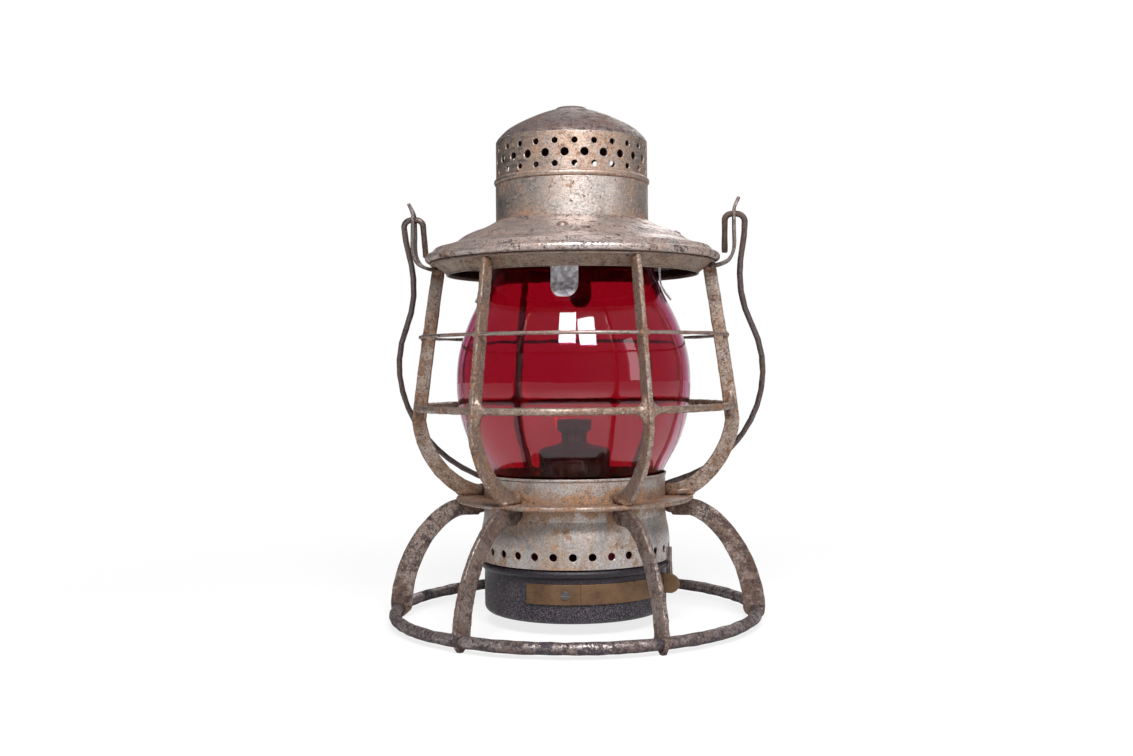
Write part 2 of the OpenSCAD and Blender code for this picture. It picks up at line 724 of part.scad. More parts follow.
// Places its children at the four rivets, with +Z square to the brim there.
rivet_slope = atan(brim_rise * 0.1 / ((rim_centre_r - neck_r) * 0.105));
module at_rivets() {
    seat = (brim_point(0.37, 0.33) + brim_point(0.475, 0.43)) / 2;
    for (i = [0:3])
        rotate([0, 0, i * 90])
            translate([0, -seat[0], seat[1]])
                rotate([rivet_slope, 0, 0])
                    children();
}

module brim_rivets() {
    grip = lid_t + tab_t + tab_sag + 0.35;
    color("silver")
        at_rivets()
            union() {
                translate([0, 0, -grip - 0.5])
                    cylinder(d = rivet_d / 2, h = grip + 1, $fn = 24);
                translate([0, 0, 0.12])
                    cylinder(d1 = rivet_d, d2 = rivet_d * 0.55, h = 0.9, $fn = 32);
                translate([0, 0, -grip - 0.8])
                    cylinder(d = rivet_d * 0.8, h = 0.8, $fn = 24);
            }
}

module knuckles(from, to)
    translate([from, hinge_y, hinge_z])
        rotate([0, 90, 0])
            cylinder(d = knuckle_d, h = to - from, $fn = 48);

module hinge_hole(r)
    translate([-hinge_w, hinge_y, hinge_z])
        rotate([0, 90, 0])
            cylinder(r = r, h = 2 * hinge_w, $fn = 48);

lid_knuckle = hinge_w / 6;
knuckle_gap = 0.15;

module hinge_leaf_frame()
    color("silver")
        difference() {
            union() {
                for (side = [0, 1])
                    mirror([side, 0, 0]) {
                        knuckles(lid_knuckle + knuckle_gap, hinge_w / 2);
                        translate([lid_knuckle + knuckle_gap, band_r - band_lip, rib_top_z - 1.3])
                            cube([hinge_w / 2 - lid_knuckle - knuckle_gap,
                                  hinge_y - band_r + band_lip, 1.25]);
                    }
                translate([-hinge_w / 2, band_r - band_lip, rib_top_z - 1.3])
                    cube([hinge_w, 2.6, 1.25]);
            }
            hinge_hole(hinge_pin_d / 2 + 0.02);
            band_space(fit);
        }

module hinge_leaf_lid() {
    strap_t = 1.2;
    seat = [0, 0.2];
    strap = [brim_point(0.74, 0) + [0, brim_under(brim_point(0.74, 0)[0]) + lid_t - neck_z] + seat,
             brim_point(0.87, 0.8) + seat, brim_point(0.91, 0.805) + seat,
             [rim_centre_r - 0.6, rim_z + rim_r + 0.7], [rim_centre_r + 0.8, rim_z + rim_r + 0.2],
             [rim_centre_r + 2.2, rim_z + rim_r - 0.7]];
    color("silver")
        difference() {
            union() {
                knuckles(-lid_knuckle, lid_knuckle);
                rotate([90, 0, 90])
                    linear_extrude(height = 2 * lid_knuckle, center = true)
                        polygon(concat(strap, [[hinge_y, hinge_z + knuckle_d / 2 - strap_t]],
                                       [[hinge_y, hinge_z + knuckle_d / 2]],
                                       reversed(beside(strap, strap_t, strap_t))));
            }
            hinge_hole(hinge_pin_d / 2 + fit);
            torus(rim_centre_r, rim_r + fit, rim_z);
        }
}

module hinge_pin()
    color("dimgray") {
        translate([-hinge_w / 2 - 0.4, hinge_y, hinge_z])
            rotate([0, 90, 0])
                cylinder(d = hinge_pin_d, h = hinge_w + 0.8, $fn = 48);
        for (side = [0, 1])
            mirror([side, 0, 0])
                translate([hinge_w / 2 + 0.1, hinge_y, hinge_z])
                    rotate([0, 90, 0])
                        cylinder(d = hinge_pin_d + 1.2, h = 0.8, $fn = 48);
    }

module fount_shell()
    color("darkslategray")
        rotate_extrude()
            union() {
                polygon(concat(
                    [[0, fount_z], [fount_r - fount_corner_r, fount_z]],
                    [for (a = [0:15:90])
                        [fount_r - fount_corner_r + fount_corner_r * sin(a),
                         fount_z + fount_corner_r * (1 - cos(a))]],
                    [[fount_r, fount_rim_z], [fount_r - fount_t, fount_rim_z],
                     [fount_r - fount_t, fount_z + fount_corner_r],
                     [fount_r - fount_corner_r, fount_z + fount_t], [0, fount_z + fount_t]]));
                difference() {
                    translate([fount_bead_r, fount_bead_z])
                        circle(d = fount_bead_d, $fn = 24);
                    translate([0, fount_z])
                        square([fount_r - fount_t / 2, fount_rim_z]);
                }
            }

module fount_top_plate() {
    outer = fount_r - fount_t - fit;
    upper = [[outer, fount_rim_z + 1.5], [outer - 1.4, fount_rim_z + 3.2],
             [burner_collar_d / 2 + 4, fount_top_z], [burner_collar_d / 2 - 3, fount_top_z]];
    color("darkslategray")
        rotate_extrude()
            polygon(concat([[outer, fount_rim_z - 2.5]], upper,
                           reversed([for (p = upper) p - [p[0] > outer - 1 ? fount_t : 0, fount_t]]),
                           [[outer - fount_t, fount_rim_z - 2.5]]));
}

module burner_collar()
    color("goldenrod")
        translate([0, 0, fount_top_z + fit])
            difference() {
                union() {
                    cylinder(d = burner_collar_d, h = burner_collar_h - fit);
                    cylinder(d = burner_collar_d + 5, h = 0.9);
                }
                translate([0, 0, -1])
                    cylinder(d = burner_collar_d - 3.6, h = burner_collar_h + 2);
            }

wall = 0.8;
module burner_body() {
    thread_r = burner_collar_d / 2 - 1.8 - fit;
    drum_r = burner_d / 2;
    base = burner_base_z + fit;
    color("darkgoldenrod")
        difference() {
            rotate_extrude()
                polygon([[thread_r - wall, fount_top_z + 1], [thread_r, fount_top_z + 1], [thread_r, base],
                         [burner_collar_d / 2 + 0.6, base], [drum_r, base + 8],
                         [drum_r, burner_z - 13], [drum_r - wall, burner_z - 13],
                         [drum_r - wall, base + 8.3], [burner_collar_d / 2 - 0.3, base + wall],
                         [thread_r - wall, base + wall]]);
            translate([0, shaft_y, shaft_z])
                rotate([0, 90, 0])
                    cylinder(r = wick_shaft_d / 2 + fit, h = burner_d, $fn = 32);
            for (i = [0:11])
                rotate([0, 0, 15 + i * 30])
                    translate([0, -drum_r + 4, burner_z - 17])
                        rotate([90, 0, 0])
                            cylinder(d = 3, h = 8, $fn = 24);
        }
}

module burner_cone() {
    drum_r = burner_d / 2;
    throat_r = norm([wick_w, wick_t]) / 2 + wall + 0.4;
    upper = [[drum_r, burner_z - 13 + fit], [drum_r, burner_z - 2], [drum_r - 2, burner_z - 0.4],
             [throat_r + 3, burner_z + 1], [throat_r, burner_z + 2.4], [throat_r, burner_z + 7],
             [mouth_d / 2, burner_z + 8.6], [mouth_d / 2, mouth_z]];
    color("darkgoldenrod")
        difference() {
            rotate_extrude()
                polygon(concat(upper, [for (p = reversed(upper))
                    p - [wall, p[1] > burner_z - 1 && p[1] < burner_z + 2 ? wall : 0]]));
            for (i = [0:3])
                rotate([0, 0, 30 + i * 90])
                    translate([0, -drum_r + 4, burner_z - 8])
                        rotate([90, 0, 0])
                            cylinder(d = 5, h = 8, $fn = 32);
        }
}

module wick_tube() {
    base = burner_base_z + fit + wall + fit;
    w = wick_hole_w + 2 * wall;
    t = wick_hole_t + 2 * wall;
    color("goldenrod")
        difference() {
            union() {
                translate([-w / 2, -t / 2, base])
                    cube([w, t, burner_z - 1 - base]);
                translate([0, 0, base])
                    cylinder(d = burner_collar_d - 1.6, h = wall);
            }
            translate([-wick_hole_w / 2, -wick_hole_t / 2, base - 1])
                cube([wick_hole_w, wick_hole_t, burner_z + 10 - base]);
            translate([-w, shaft_y, shaft_z])
                rotate([0, 90, 0])
                    cylinder(d = wick_wheel_d + 2, h = 2 * w, $fn = 32);
        }
}

module wick()
    color("wheat")
        translate([-wick_w / 2, -wick_t / 2, wick_foot_z])
            cube([wick_w, wick_t, wick_top_z - wick_foot_z]);

module wick_shaft() {
    wheel_t = 1.2;
    color("goldenrod") {
        translate([-wick_w / 2 - 1, shaft_y, shaft_z])
            rotate([0, 90, 0])
                cylinder(d = wick_shaft_d, h = knob_x - 0.5 + wick_w / 2 + 1, $fn = 32);
        for (x = [-wick_w / 4, wick_w / 4])
            translate([x - wheel_t / 2, shaft_y, shaft_z])
                rotate([0, 90, 0])
                    difference() {
                        cylinder(d = wick_wheel_d, h = wheel_t, $fn = 32);
                        for (a = [0:30:330])
                            rotate([0, 0, a])
                                translate([wick_wheel_d / 2, 0, -1])
                                    cylinder(d = 0.8, h = wheel_t + 2, $fn = 16);
                    }
    }
}

module wick_knob()
    color("goldenrod")
        translate([knob_x - 3, shaft_y, shaft_z])
            rotate([0, 90, 0])
                difference() {
                    cylinder(d = knob_d, h = 3, $fn = 48);
                    translate([0, 0, -1])
                        cylinder(r = wick_shaft_d / 2 + 0.02, h = 5, $fn = 32);
                    for (a = [0:30:330])
                        rotate([0, 0, a])
                            translate([knob_d / 2 + 0.3, 0, -1])
                                cylinder(d = 1.4, h = 5, $fn = 16);
                }

// A part of the ring that lies on the fount, between two angles from the front.
module arc_strip(from, to, r, t, h)
    rotate([0, 0, from - 90])
        rotate_extrude(angle = to - from)
            translate([r, 0])
                square([t, h]);

strip_r = fount_r + fit;
module latch_anchor()
    color("peru")
        translate([0, 0, strip_z])
            difference() {
                arc_strip(-strip_start, strip_flex - 0.05, strip_r, strip_t, strip_w);
                rotate([0, 0, -screw_angle])
                    translate([0, -strip_r + 2, strip_w / 2])
                        rotate([90, 0, 0])
                            cylinder(d = screw_d / 2 + 2 * fit, h = 6, $fn = 24);
            }

screw_angle = 1;
module latch_screw()
    color("gray")
        rotate([0, 0, -screw_angle])
            translate([0, -strip_r, strip_z + strip_w / 2])
                rotate([90, 0, 0])
                    difference() {
                        union() {
                            cylinder(d = screw_d / 2, h = strip_t + 0.2, $fn = 24);
                            translate([0, 0, strip_t + fit])
                                cylinder(d = screw_d, h = 0.8, $fn = 32);
                        }
                        translate([-screw_d, -0.25, strip_t + 0.55])
                            cube([2 * screw_d, 0.5, 1]);
                    }

// The strip's free end with its thumb tab, bent square outwards and rounded off.
function strip_point(r, angle) = r * [sin(angle), -cos(angle)];
function strip_curve(r, from, to) =
    [for (i = [0:24]) strip_point(r, from + (to - from) * i / 24)];

module latch_strip() {
    from = strip_flex + 0.05;
    outer_r = strip_r + strip_t;
    tip_r = strip_r + thumb_l;
    round_r = strip_w / 2;
    along = [cos(strip_end), sin(strip_end)];
    color("peru")
        translate([0, 0, strip_z])
            difference() {
                linear_extrude(height = strip_w)
                    polygon(concat(
                        strip_curve(outer_r, from, strip_end - asin(strip_t / outer_r)),
                        [strip_point(tip_r, strip_end) - strip_t * along, strip_point(tip_r, strip_end)],
                        strip_curve(strip_r, strip_end, from)));
                upright(strip_end, 6)
                    polygon(concat(
                        [[tip_r - round_r, -1], [tip_r + 1, -1], [tip_r + 1, strip_w + 1],
                         [tip_r - round_r, strip_w + 1]],
                        [for (a = [75:-15:-75])
                            [tip_r - round_r + round_r * cos(a), round_r + round_r * sin(a)]]));
            }
}

// Lug on the collar that stands behind the thumb tab and stops the fount from turning.
module catch_lug()
    color("silver")
        union() {
            translate([0, 0, skirt_z - lug_drop])
                arc_strip(strip_end + 3, strip_end + 3 + lug_angle, skirt_r + soft_gap + 0.15, lug_t,
                          lug_drop + 5);
            translate([0, 0, skirt_z + 0.5])
                arc_strip(strip_end + 3, strip_end + 3 + lug_angle, skirt_r + fit, lug_t + 0.4, 4.5);
        }

base_ring();
for (i = BARS) leg(i);
for (i = BARS) rib(i);
flange_plate();
collar();
catch_lug();
globe_seat_ring();
upper_guard_wire();
lower_guard_wire();
top_band();
bail_ear(-1);  // bail_ear_left
bail_ear(1);  // bail_ear_right
hinge_leaf_frame();
hinge_pin();
globe();
lid_brim();
lid_skirt();
chimney_neck();
vent_hood();
dome_cap();
draft_cone();
globe_tabs();
brim_rivets();
hinge_leaf_lid();
bail();
fount_shell();
fount_top_plate();
burner_collar();
burner_body();
burner_cone();
wick_tube();
latch_anchor();
latch_screw();
latch_strip();
wick();
wick_shaft();
wick_knob();
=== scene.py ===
"""Railroad lantern: worn iron, sheet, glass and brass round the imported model, and its studio."""
import logging
import math
from dataclasses import dataclass, field
from enum import Enum
from typing import Optional, Sequence, Union

import bmesh
import bpy
from mathutils import Matrix, Vector, noise


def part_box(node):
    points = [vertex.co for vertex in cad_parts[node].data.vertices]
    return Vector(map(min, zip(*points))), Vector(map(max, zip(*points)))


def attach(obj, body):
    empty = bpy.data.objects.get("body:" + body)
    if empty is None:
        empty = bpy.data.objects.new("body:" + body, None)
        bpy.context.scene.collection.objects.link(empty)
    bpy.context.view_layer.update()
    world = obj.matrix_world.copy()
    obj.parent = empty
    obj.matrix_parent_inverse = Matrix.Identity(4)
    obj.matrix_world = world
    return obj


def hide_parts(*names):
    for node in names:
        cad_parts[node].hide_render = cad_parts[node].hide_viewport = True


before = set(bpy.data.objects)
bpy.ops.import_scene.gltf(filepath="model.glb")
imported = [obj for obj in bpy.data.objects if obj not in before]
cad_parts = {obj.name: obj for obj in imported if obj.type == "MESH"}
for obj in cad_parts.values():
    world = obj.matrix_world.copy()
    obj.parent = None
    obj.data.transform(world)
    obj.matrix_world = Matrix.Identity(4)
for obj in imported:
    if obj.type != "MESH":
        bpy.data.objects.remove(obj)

LOG = logging.getLogger("lantern")
MM = 0.001
BAR_NUMBERS = range(1, 7)
BAR_STEP = 60.0  # degrees from one bar to the next
FRONT = -90.0  # degrees from +X
CORNER_REACH = 7 * MM
RUST_IN_CORNERS = 0.36
SEED_DIRECTION = (1.0, 1.7, 0.6)
COVER_NONE = 0.66  # level of a pattern that a share of 0 starts from
COVER_SPAN = 0.32  # how much lower it is at a share of 1
SHADER_SAMPLES = 4
WELD = 0.005 * MM  # points nearer than this are joined
CHARRED = 6 * MM  # length of the wick's burnt end

Colour = tuple[float, float, float]
Size = tuple[float, float, float]
Socket = bpy.types.NodeSocket
Level = Union[float, Socket]
Tint = Union[Colour, Socket]

BARE_EDGE: Colour = (0.7, 0.66, 0.63)
WHITE: Colour = (1.0, 1.0, 1.0)


class Graph:
    """The node graph of one material or world, with helpers for the nodes that finishes share."""

    def __init__(self, name: str, world: bool = False) -> None:
        """Starts an empty graph.

        Args:
            name: Name of the new material or world.
            world: Whether the graph is a world's.
        """
        self.owner = (bpy.data.worlds if world else bpy.data.materials).new(name)
        self.owner.use_nodes = True
        self.nodes = self.owner.node_tree.nodes
        self.links = self.owner.node_tree.links
        self.nodes.clear()
        ending, place = ("World", "Generated") if world else ("Material", "Object")
        self.output = self.nodes.new(f"ShaderNodeOutput{ending}")
        self.place = self.nodes.new("ShaderNodeTexCoord").outputs[place]

    def feed(self, node: bpy.types.Node, inputs: dict[Union[str, int], object]) -> None:
        """Sets or links the inputs of a node.

        Args:
            node: The node.
            inputs: Values or sockets by the name or number of the input.
        """
        for key, value in inputs.items():
            target = node.inputs[key]
            if isinstance(value, bpy.types.NodeSocket):
                self.links.new(value, target)
            elif target.type == "RGBA":
                target.default_value = (*value, 1.0)
            else:
                target.default_value = value

    def stretched(self, scale: Sequence[float]) -> Socket:
        """Returns the object's coordinates multiplied along X, Y and Z.

        Args:
            scale: The three factors.
        """
        node = self.nodes.new("ShaderNodeMapping")
        self.feed(node, {"Vector": self.place, "Scale": scale})
        return node.outputs["Vector"]

    def noise(self, scale: float, detail: float, rough: float,
              where: Optional[Socket] = None, swirl: float = 0.0) -> Socket:
        """Returns a cloudy pattern between 0 and 1.

        Args:
            scale: Features per metre.
            detail: Octaves of finer features.
            rough: Strength of the finer features.
            where: Coordinates, or the object's own.
            swirl: Distortion of the pattern.
        """
        node = self.nodes.new("ShaderNodeTexNoise")
        self.feed(node, {"Vector": where or self.place, "Scale": scale, "Detail": detail,
                         "Roughness": rough, "Distortion": swirl})
        return node.outputs["Fac"]

    def cells(self, scale: float) -> Socket:
        """Returns a pattern of cells, each of one random colour.

        Args:
            scale: Cells per metre.
        """
        node = self.nodes.new("ShaderNodeTexVoronoi")
        self.feed(node, {"Vector": self.place, "Scale": scale})
        return node.outputs["Color"]

    def band(self, value: Level, low: float, high: float, start: float = 0.0,
             end: float = 1.0) -> Socket:
        """Returns a smooth step of a value from one level to another.

        Args:
            value: The pattern.
            low: Value at which the step starts.
            high: Value at which the step ends.
            start: Result below the step.
            end: Result above the step.
        """
        node = self.nodes.new("ShaderNodeMapRange")
        node.interpolation_type = "SMOOTHSTEP"
        self.feed(node, {"Value": value, "From Min": low, "From Max": high,
                         "To Min": start, "To Max": end})
        return node.outputs["Result"]

    def total(self, *pairs: Level) -> Socket:
        """Returns patterns added up with their weights.

        Args:
            pairs: Pattern, weight, pattern, weight and so on.
        """
        result: Level = 0.0
        for pattern, weight in zip(pairs[::2], pairs[1::2]):
            result = self.math("ADD", result, self.math("MULTIPLY", pattern, weight))
        return result

    def cover(self, pattern: Socket, share: float, softness: float) -> Socket:
        """Returns where a pattern covers a share of the surface.

        Args:
            pattern: Cloudy pattern about 0.5.
            share: Share that is covered, from 0 to 1.
            softness: Width of the cover's edge.
        """
        level = COVER_NONE - COVER_SPAN * share
        return self.band(pattern, level - softness / 2, level + softness / 2)

    def math(self, operation: str, first: Level, second: Level = 0.0) -> Socket:
        """Returns a sum on one or two values, kept within 0 and 1 after ADD and SUBTRACT.

        Args:
            operation: Name of Blender's Math operation.
            first: First value.
            second: Second value.
        """
        node = self.nodes.new("ShaderNodeMath")
        node.operation = operation
        node.use_clamp = operation in {"ADD", "SUBTRACT"}
        self.feed(node, {0: first, 1: second})
        return node.outputs["Value"]

    def mix(self, share: Level, first: Tint, second: Tint, blend: str = "MIX") -> Socket:
        """Returns two colours mixed by a share.

        Args:
            share: How much of the second colour shows.
            first: Colour at a share of 0.
            second: Colour at a share of 1.
            blend: Name of Blender's blend type.
        """
        node = self.nodes.new("ShaderNodeMix")
        node.data_type = "RGBA"
        node.blend_type = blend
        self.feed(node, {0: share, 6: first, 7: second})
        return node.outputs[2]

    def crevice(self, reach: float) -> Socket:
        """Returns how deep a point lies in a corner between pieces.

        Args:
            reach: How far the corner's walls are looked for, in metres.
        """
        node = self.nodes.new("ShaderNodeAmbientOcclusion")
        node.samples = SHADER_SAMPLES
        self.feed(node, {"Distance": reach})
        return self.math("SUBTRACT", 1.0, node.outputs["AO"])

    def rounded(self, radius: float) -> Socket:
        """Returns the surface direction with the edges rounded.

        Args:
            radius: Radius of the rounding, in metres.
        """
        node = self.nodes.new("ShaderNodeBevel")
        node.samples = SHADER_SAMPLES
        self.feed(node, {"Radius": radius})
        return node.outputs["Normal"]

    def relief(self, height: Socket, depth: float, normal: Optional[Socket] = None) -> Socket:
        """Returns the surface direction over a pattern of heights.

        Args:
            height: The pattern.
            depth: Height of a pattern value of 1, in metres.
            normal: Surface direction below the pattern.
        """
        node = self.nodes.new("ShaderNodeBump")
        self.feed(node, {"Height": height, "Distance": depth, "Strength": 1.0})
        if normal is not None:
            self.feed(node, {"Normal": normal})
        return node.outputs["Normal"]

    def surface(self, **inputs: object) -> bpy.types.Material:
        """Ends the graph in one shader.

        Args:
            inputs: Values or sockets, named as the shader's inputs with _ for a space.

        Returns:
            The material.
        """
        shader = self.nodes.new("ShaderNodeBsdfPrincipled")
        self.feed(shader, {key.replace("_", " "): value for key, value in inputs.items()})
        self.feed(self.output, {"Surface": shader.outputs["BSDF"]})
        return self.owner

    def split(self, vector: Socket) -> tuple[Socket, Socket, Socket]:
        """Returns the three parts of a vector.

        Args:
            vector: The vector.
        """
        node = self.nodes.new("ShaderNodeSeparateXYZ")
        self.feed(node, {"Vector": vector})
        return node.outputs["X"], node.outputs["Y"], node.outputs["Z"]

    def edges(self, rounded: Socket) -> Socket:
        """Returns where the rounded surface direction leaves the flat one, along the edges.

        Args:
            rounded: The rounded surface direction.
        """
        flat = self.nodes.new("ShaderNodeNewGeometry").outputs["Normal"]
        node = self.nodes.new("ShaderNodeVectorMath")
        node.operation = "DOT_PRODUCT"
        self.feed(node, {0: flat, 1: rounded})
        return self.band(node.outputs["Value"], low=0.99, high=0.86)

    def rays(self) -> tuple[Socket, Socket]:
        """Returns where the camera sees the surface, also through glass, and where metal does."""
        ray = self.nodes.new("ShaderNodeLightPath").outputs
        seen = self.math("MAXIMUM", ray["Is Camera Ray"], ray["Is Transmission Ray"])
        return seen, ray["Is Glossy Ray"]


def scaled(colour: Colour, factor: float) -> Colour:
    """Returns a colour made lighter or darker.

    Args:
        colour: The colour.
        factor: Factor on its brightness.
    """
    return tuple(min(1.0, part * factor) for part in colour)


@dataclass(frozen=True)
class WornSteel:
    """Tinned or bare steel, gone patchy with tarnish, rust and dark pits.

    Attributes:
        name: Name of the material.
        tin: Colour of the sound metal.
        tarnish: Colour of the soft brown film.
        rust: Colour of the rust blotches.
        tarnished: Share of the surface under the film.
        rusted: Share of the surface that is rusty.
        pitted: Share of the surface that is pitted.
        specked: How much of the surface has fine dark specks, from 0 to 1.
        pit: Colour of the pits and specks.
        streak: Stretch of the brush marks along X, Y and Z.
        roughness: Roughness of the sound metal.
        rounding: Radius that the sheet's edges look rounded by, in metres, or 0.
        worn_edges: How bright the convex edges are worn, from 0 to 1.
        relief: Depth of the grain and the pits, in metres.
        seed: Shift of the pattern, so that two finishes don't repeat each other.
    """

    name: str
    tin: Colour
    tarnish: Colour
    rust: Colour
    tarnished: float
    rusted: float
    pitted: float
    specked: float = 0.5
    pit: Colour = (0.035, 0.024, 0.028)
    streak: tuple[float, float, float] = (1.0, 1.0, 1.0)
    roughness: float = 0.36
    rounding: float = 0.0
    worn_edges: float = 0.6
    relief: float = 0.25 * MM
    seed: float = 0.0

    def material(self) -> bpy.types.Material:
        """Returns the finish as a new material."""
        graph = Graph(self.name)
        graph.place = self._shifted(graph)
        patches = graph.noise(scale=42, detail=5, rough=0.62)
        blotches = graph.noise(scale=190, detail=8, rough=0.68, swirl=0.3)
        speckle = graph.noise(scale=850, detail=5, rough=0.7)
        brushed = graph.noise(scale=420, detail=5, rough=0.65, where=graph.stretched(self.streak))
        corner = graph.crevice(CORNER_REACH)
        film = graph.cover(graph.total(patches, 0.45, brushed, 0.55, corner, 0.16),
                           self.tarnished, softness=0.22)
        rusty = graph.cover(graph.total(patches, 0.4, blotches, 0.6, corner, RUST_IN_CORNERS),
                            self.rusted, softness=0.09)
        rusty = graph.math("MULTIPLY", rusty, graph.band(speckle, low=0.3, high=0.62, start=0.25))
        pits = self._pits(graph, blotches, corner)
        colour = self._colour(graph, brushed, speckle, film, rusty, pits)
        normal = graph.rounded(self.rounding) if self.rounding else None
        edge = self._bare_edges(graph, normal, speckle)
        rough = graph.band(speckle, low=0.3, high=0.7, start=self.roughness - 0.07,
                           end=self.roughness + 0.1)
        rough = graph.math("ADD", rough, graph.total(rusty, 0.42, film, 0.16))
        rough = graph.math("SUBTRACT", rough, graph.math("MULTIPLY", edge, 0.2))
        metal = graph.math("SUBTRACT", 1.0, graph.math("MULTIPLY", rusty, 0.75))
        metal = graph.math("SUBTRACT", metal, graph.total(pits, 0.6, film, 0.25))
        height = self._height(graph, speckle, pits, rusty)
        return graph.surface(Base_Color=graph.mix(edge, colour, BARE_EDGE), Roughness=rough,
                             Metallic=metal, Normal=graph.relief(height, self.relief, normal))

    def _shifted(self, graph: Graph) -> Socket:
        """Returns the coordinates moved by the finish's seed.

        Args:
            graph: The graph.
        """
        node = graph.nodes.new("ShaderNodeMapping")
        shift = tuple(self.seed * factor for factor in SEED_DIRECTION)
        graph.feed(node, {"Vector": graph.place, "Location": shift})
        return node.outputs["Vector"]

    def _pits(self, graph: Graph, blotches: Socket, corner: Socket) -> Socket:
        """Returns where the dark pits and the fine specks lie.

        Args:
            graph: The graph.
            blotches: The pattern of the rust blotches.
            corner: How deep a point lies in a corner.
        """
        coarse = graph.noise(scale=430, detail=7, rough=0.72)
        pits = graph.cover(graph.total(blotches, 0.35, coarse, 0.65, corner, 0.08),
                           self.pitted, softness=0.045)
        fine = graph.total(graph.noise(scale=1050, detail=4, rough=0.8), 0.75, blotches, 0.25)
        level = 0.62 - 0.1 * self.specked
        specks = graph.band(fine, low=level - 0.015, high=level + 0.03)
        return graph.math("MAXIMUM", pits, graph.math("MULTIPLY", specks, 0.85))

    def _colour(self, graph: Graph, brushed: Socket, speckle: Socket, film: Socket,
                rusty: Socket, pits: Socket) -> Socket:
        """Returns the colour of the metal with its film, rust and pits.

        Args:
            graph: The graph.
            brushed: The pattern of the brush marks.
            speckle: A fine pattern.
            film: Where the brown film lies.
            rusty: Where the rust lies.
            pits: Where the pits and specks lie.
        """
        sound = graph.mix(graph.band(brushed, low=0.3, high=0.72), scaled(self.tin, 0.8),
                          scaled(self.tin, 1.16))
        rust = graph.mix(graph.band(speckle, low=0.35, high=0.65), scaled(self.rust, 0.6),
                         scaled(self.rust, 1.35))
        colour = graph.mix(rusty, graph.mix(film, sound, self.tarnish), rust)
        mottle = graph.band(graph.noise(scale=1250, detail=3, rough=0.7), low=0.34, high=0.66,
                            start=0.7, end=1.24)
        return graph.mix(pits, graph.mix(1.0, colour, mottle, "MULTIPLY"), self.pit)

    def _bare_edges(self, graph: Graph, normal: Optional[Socket], speckle: Socket) -> Socket:
        """Returns where the edges are worn bright.

        Args:
            graph: The graph.
            normal: The rounded surface direction, if there is one.
            speckle: A fine pattern that breaks the wear up.
        """
        if normal is None:
            pointed = graph.nodes.new("ShaderNodeNewGeometry").outputs["Pointiness"]
            edge = graph.band(pointed, low=0.54, high=0.62)
        else:
            edge = graph.edges(normal)
        wear = graph.band(speckle, low=0.38, high=0.6, start=0.15, end=self.worn_edges)
        return graph.math("MULTIPLY", edge, wear)

    @staticmethod
    def _height(graph: Graph, speckle: Socket, pits: Socket, rusty: Socket) -> Socket:
        """Returns the height of the grain, with sunk pits and raised rust.

        Args:
            graph: The graph.
            speckle: A fine pattern.
            pits: Where the pits and specks lie.
            rusty: Where the rust lies.
        """
        grain = graph.noise(scale=3600, detail=2, rough=0.6)
        height = graph.math("SUBTRACT", graph.total(grain, 0.12, speckle, 0.35),
                            graph.math("MULTIPLY", pits, 0.3))
        return graph.math("ADD", height, graph.math("MULTIPLY", rusty, 0.18))


@dataclass(frozen=True)
class Spangle:
    """Galvanised sheet with a pattern of zinc crystals.

    Attributes:
        name: Name of the material.
        light: Colour of the bright crystals.
        dark: Colour of the dark crystals.
        dirt: Colour of the grime.
        relief: Height of the crystals, in metres.
    """

    name: str
    light: Colour = (0.95, 0.93, 0.98)
    dark: Colour = (0.42, 0.4, 0.44)
    dirt: Colour = (0.2, 0.17, 0.15)
    relief: float = 0.06 * MM

    def material(self) -> bpy.types.Material:
        """Returns the finish as a new material."""
        graph = Graph(self.name)
        crystals = graph.nodes.new("ShaderNodeSeparateColor")
        graph.feed(crystals, {"Color": graph.cells(scale=620)})
        shade = graph.total(crystals.outputs["Red"], 0.6,
                            graph.noise(scale=900, detail=4, rough=0.65), 0.5)
        colour = graph.mix(graph.band(shade, low=0.25, high=0.95), self.dark, self.light)
        grime = graph.band(graph.noise(scale=260, detail=6, rough=0.7), low=0.56, high=0.7, end=0.6)
        rough = graph.band(crystals.outputs["Green"], low=0.0, high=1.0, start=0.3, end=0.5)
        rough = graph.math("ADD", rough, graph.math("MULTIPLY", grime, 0.3))
        normal = graph.relief(shade, self.relief, graph.rounded(0.3 * MM))
        return graph.surface(Base_Color=graph.mix(grime, colour, self.dirt), Roughness=rough,
                             Metallic=0.3, Normal=normal)


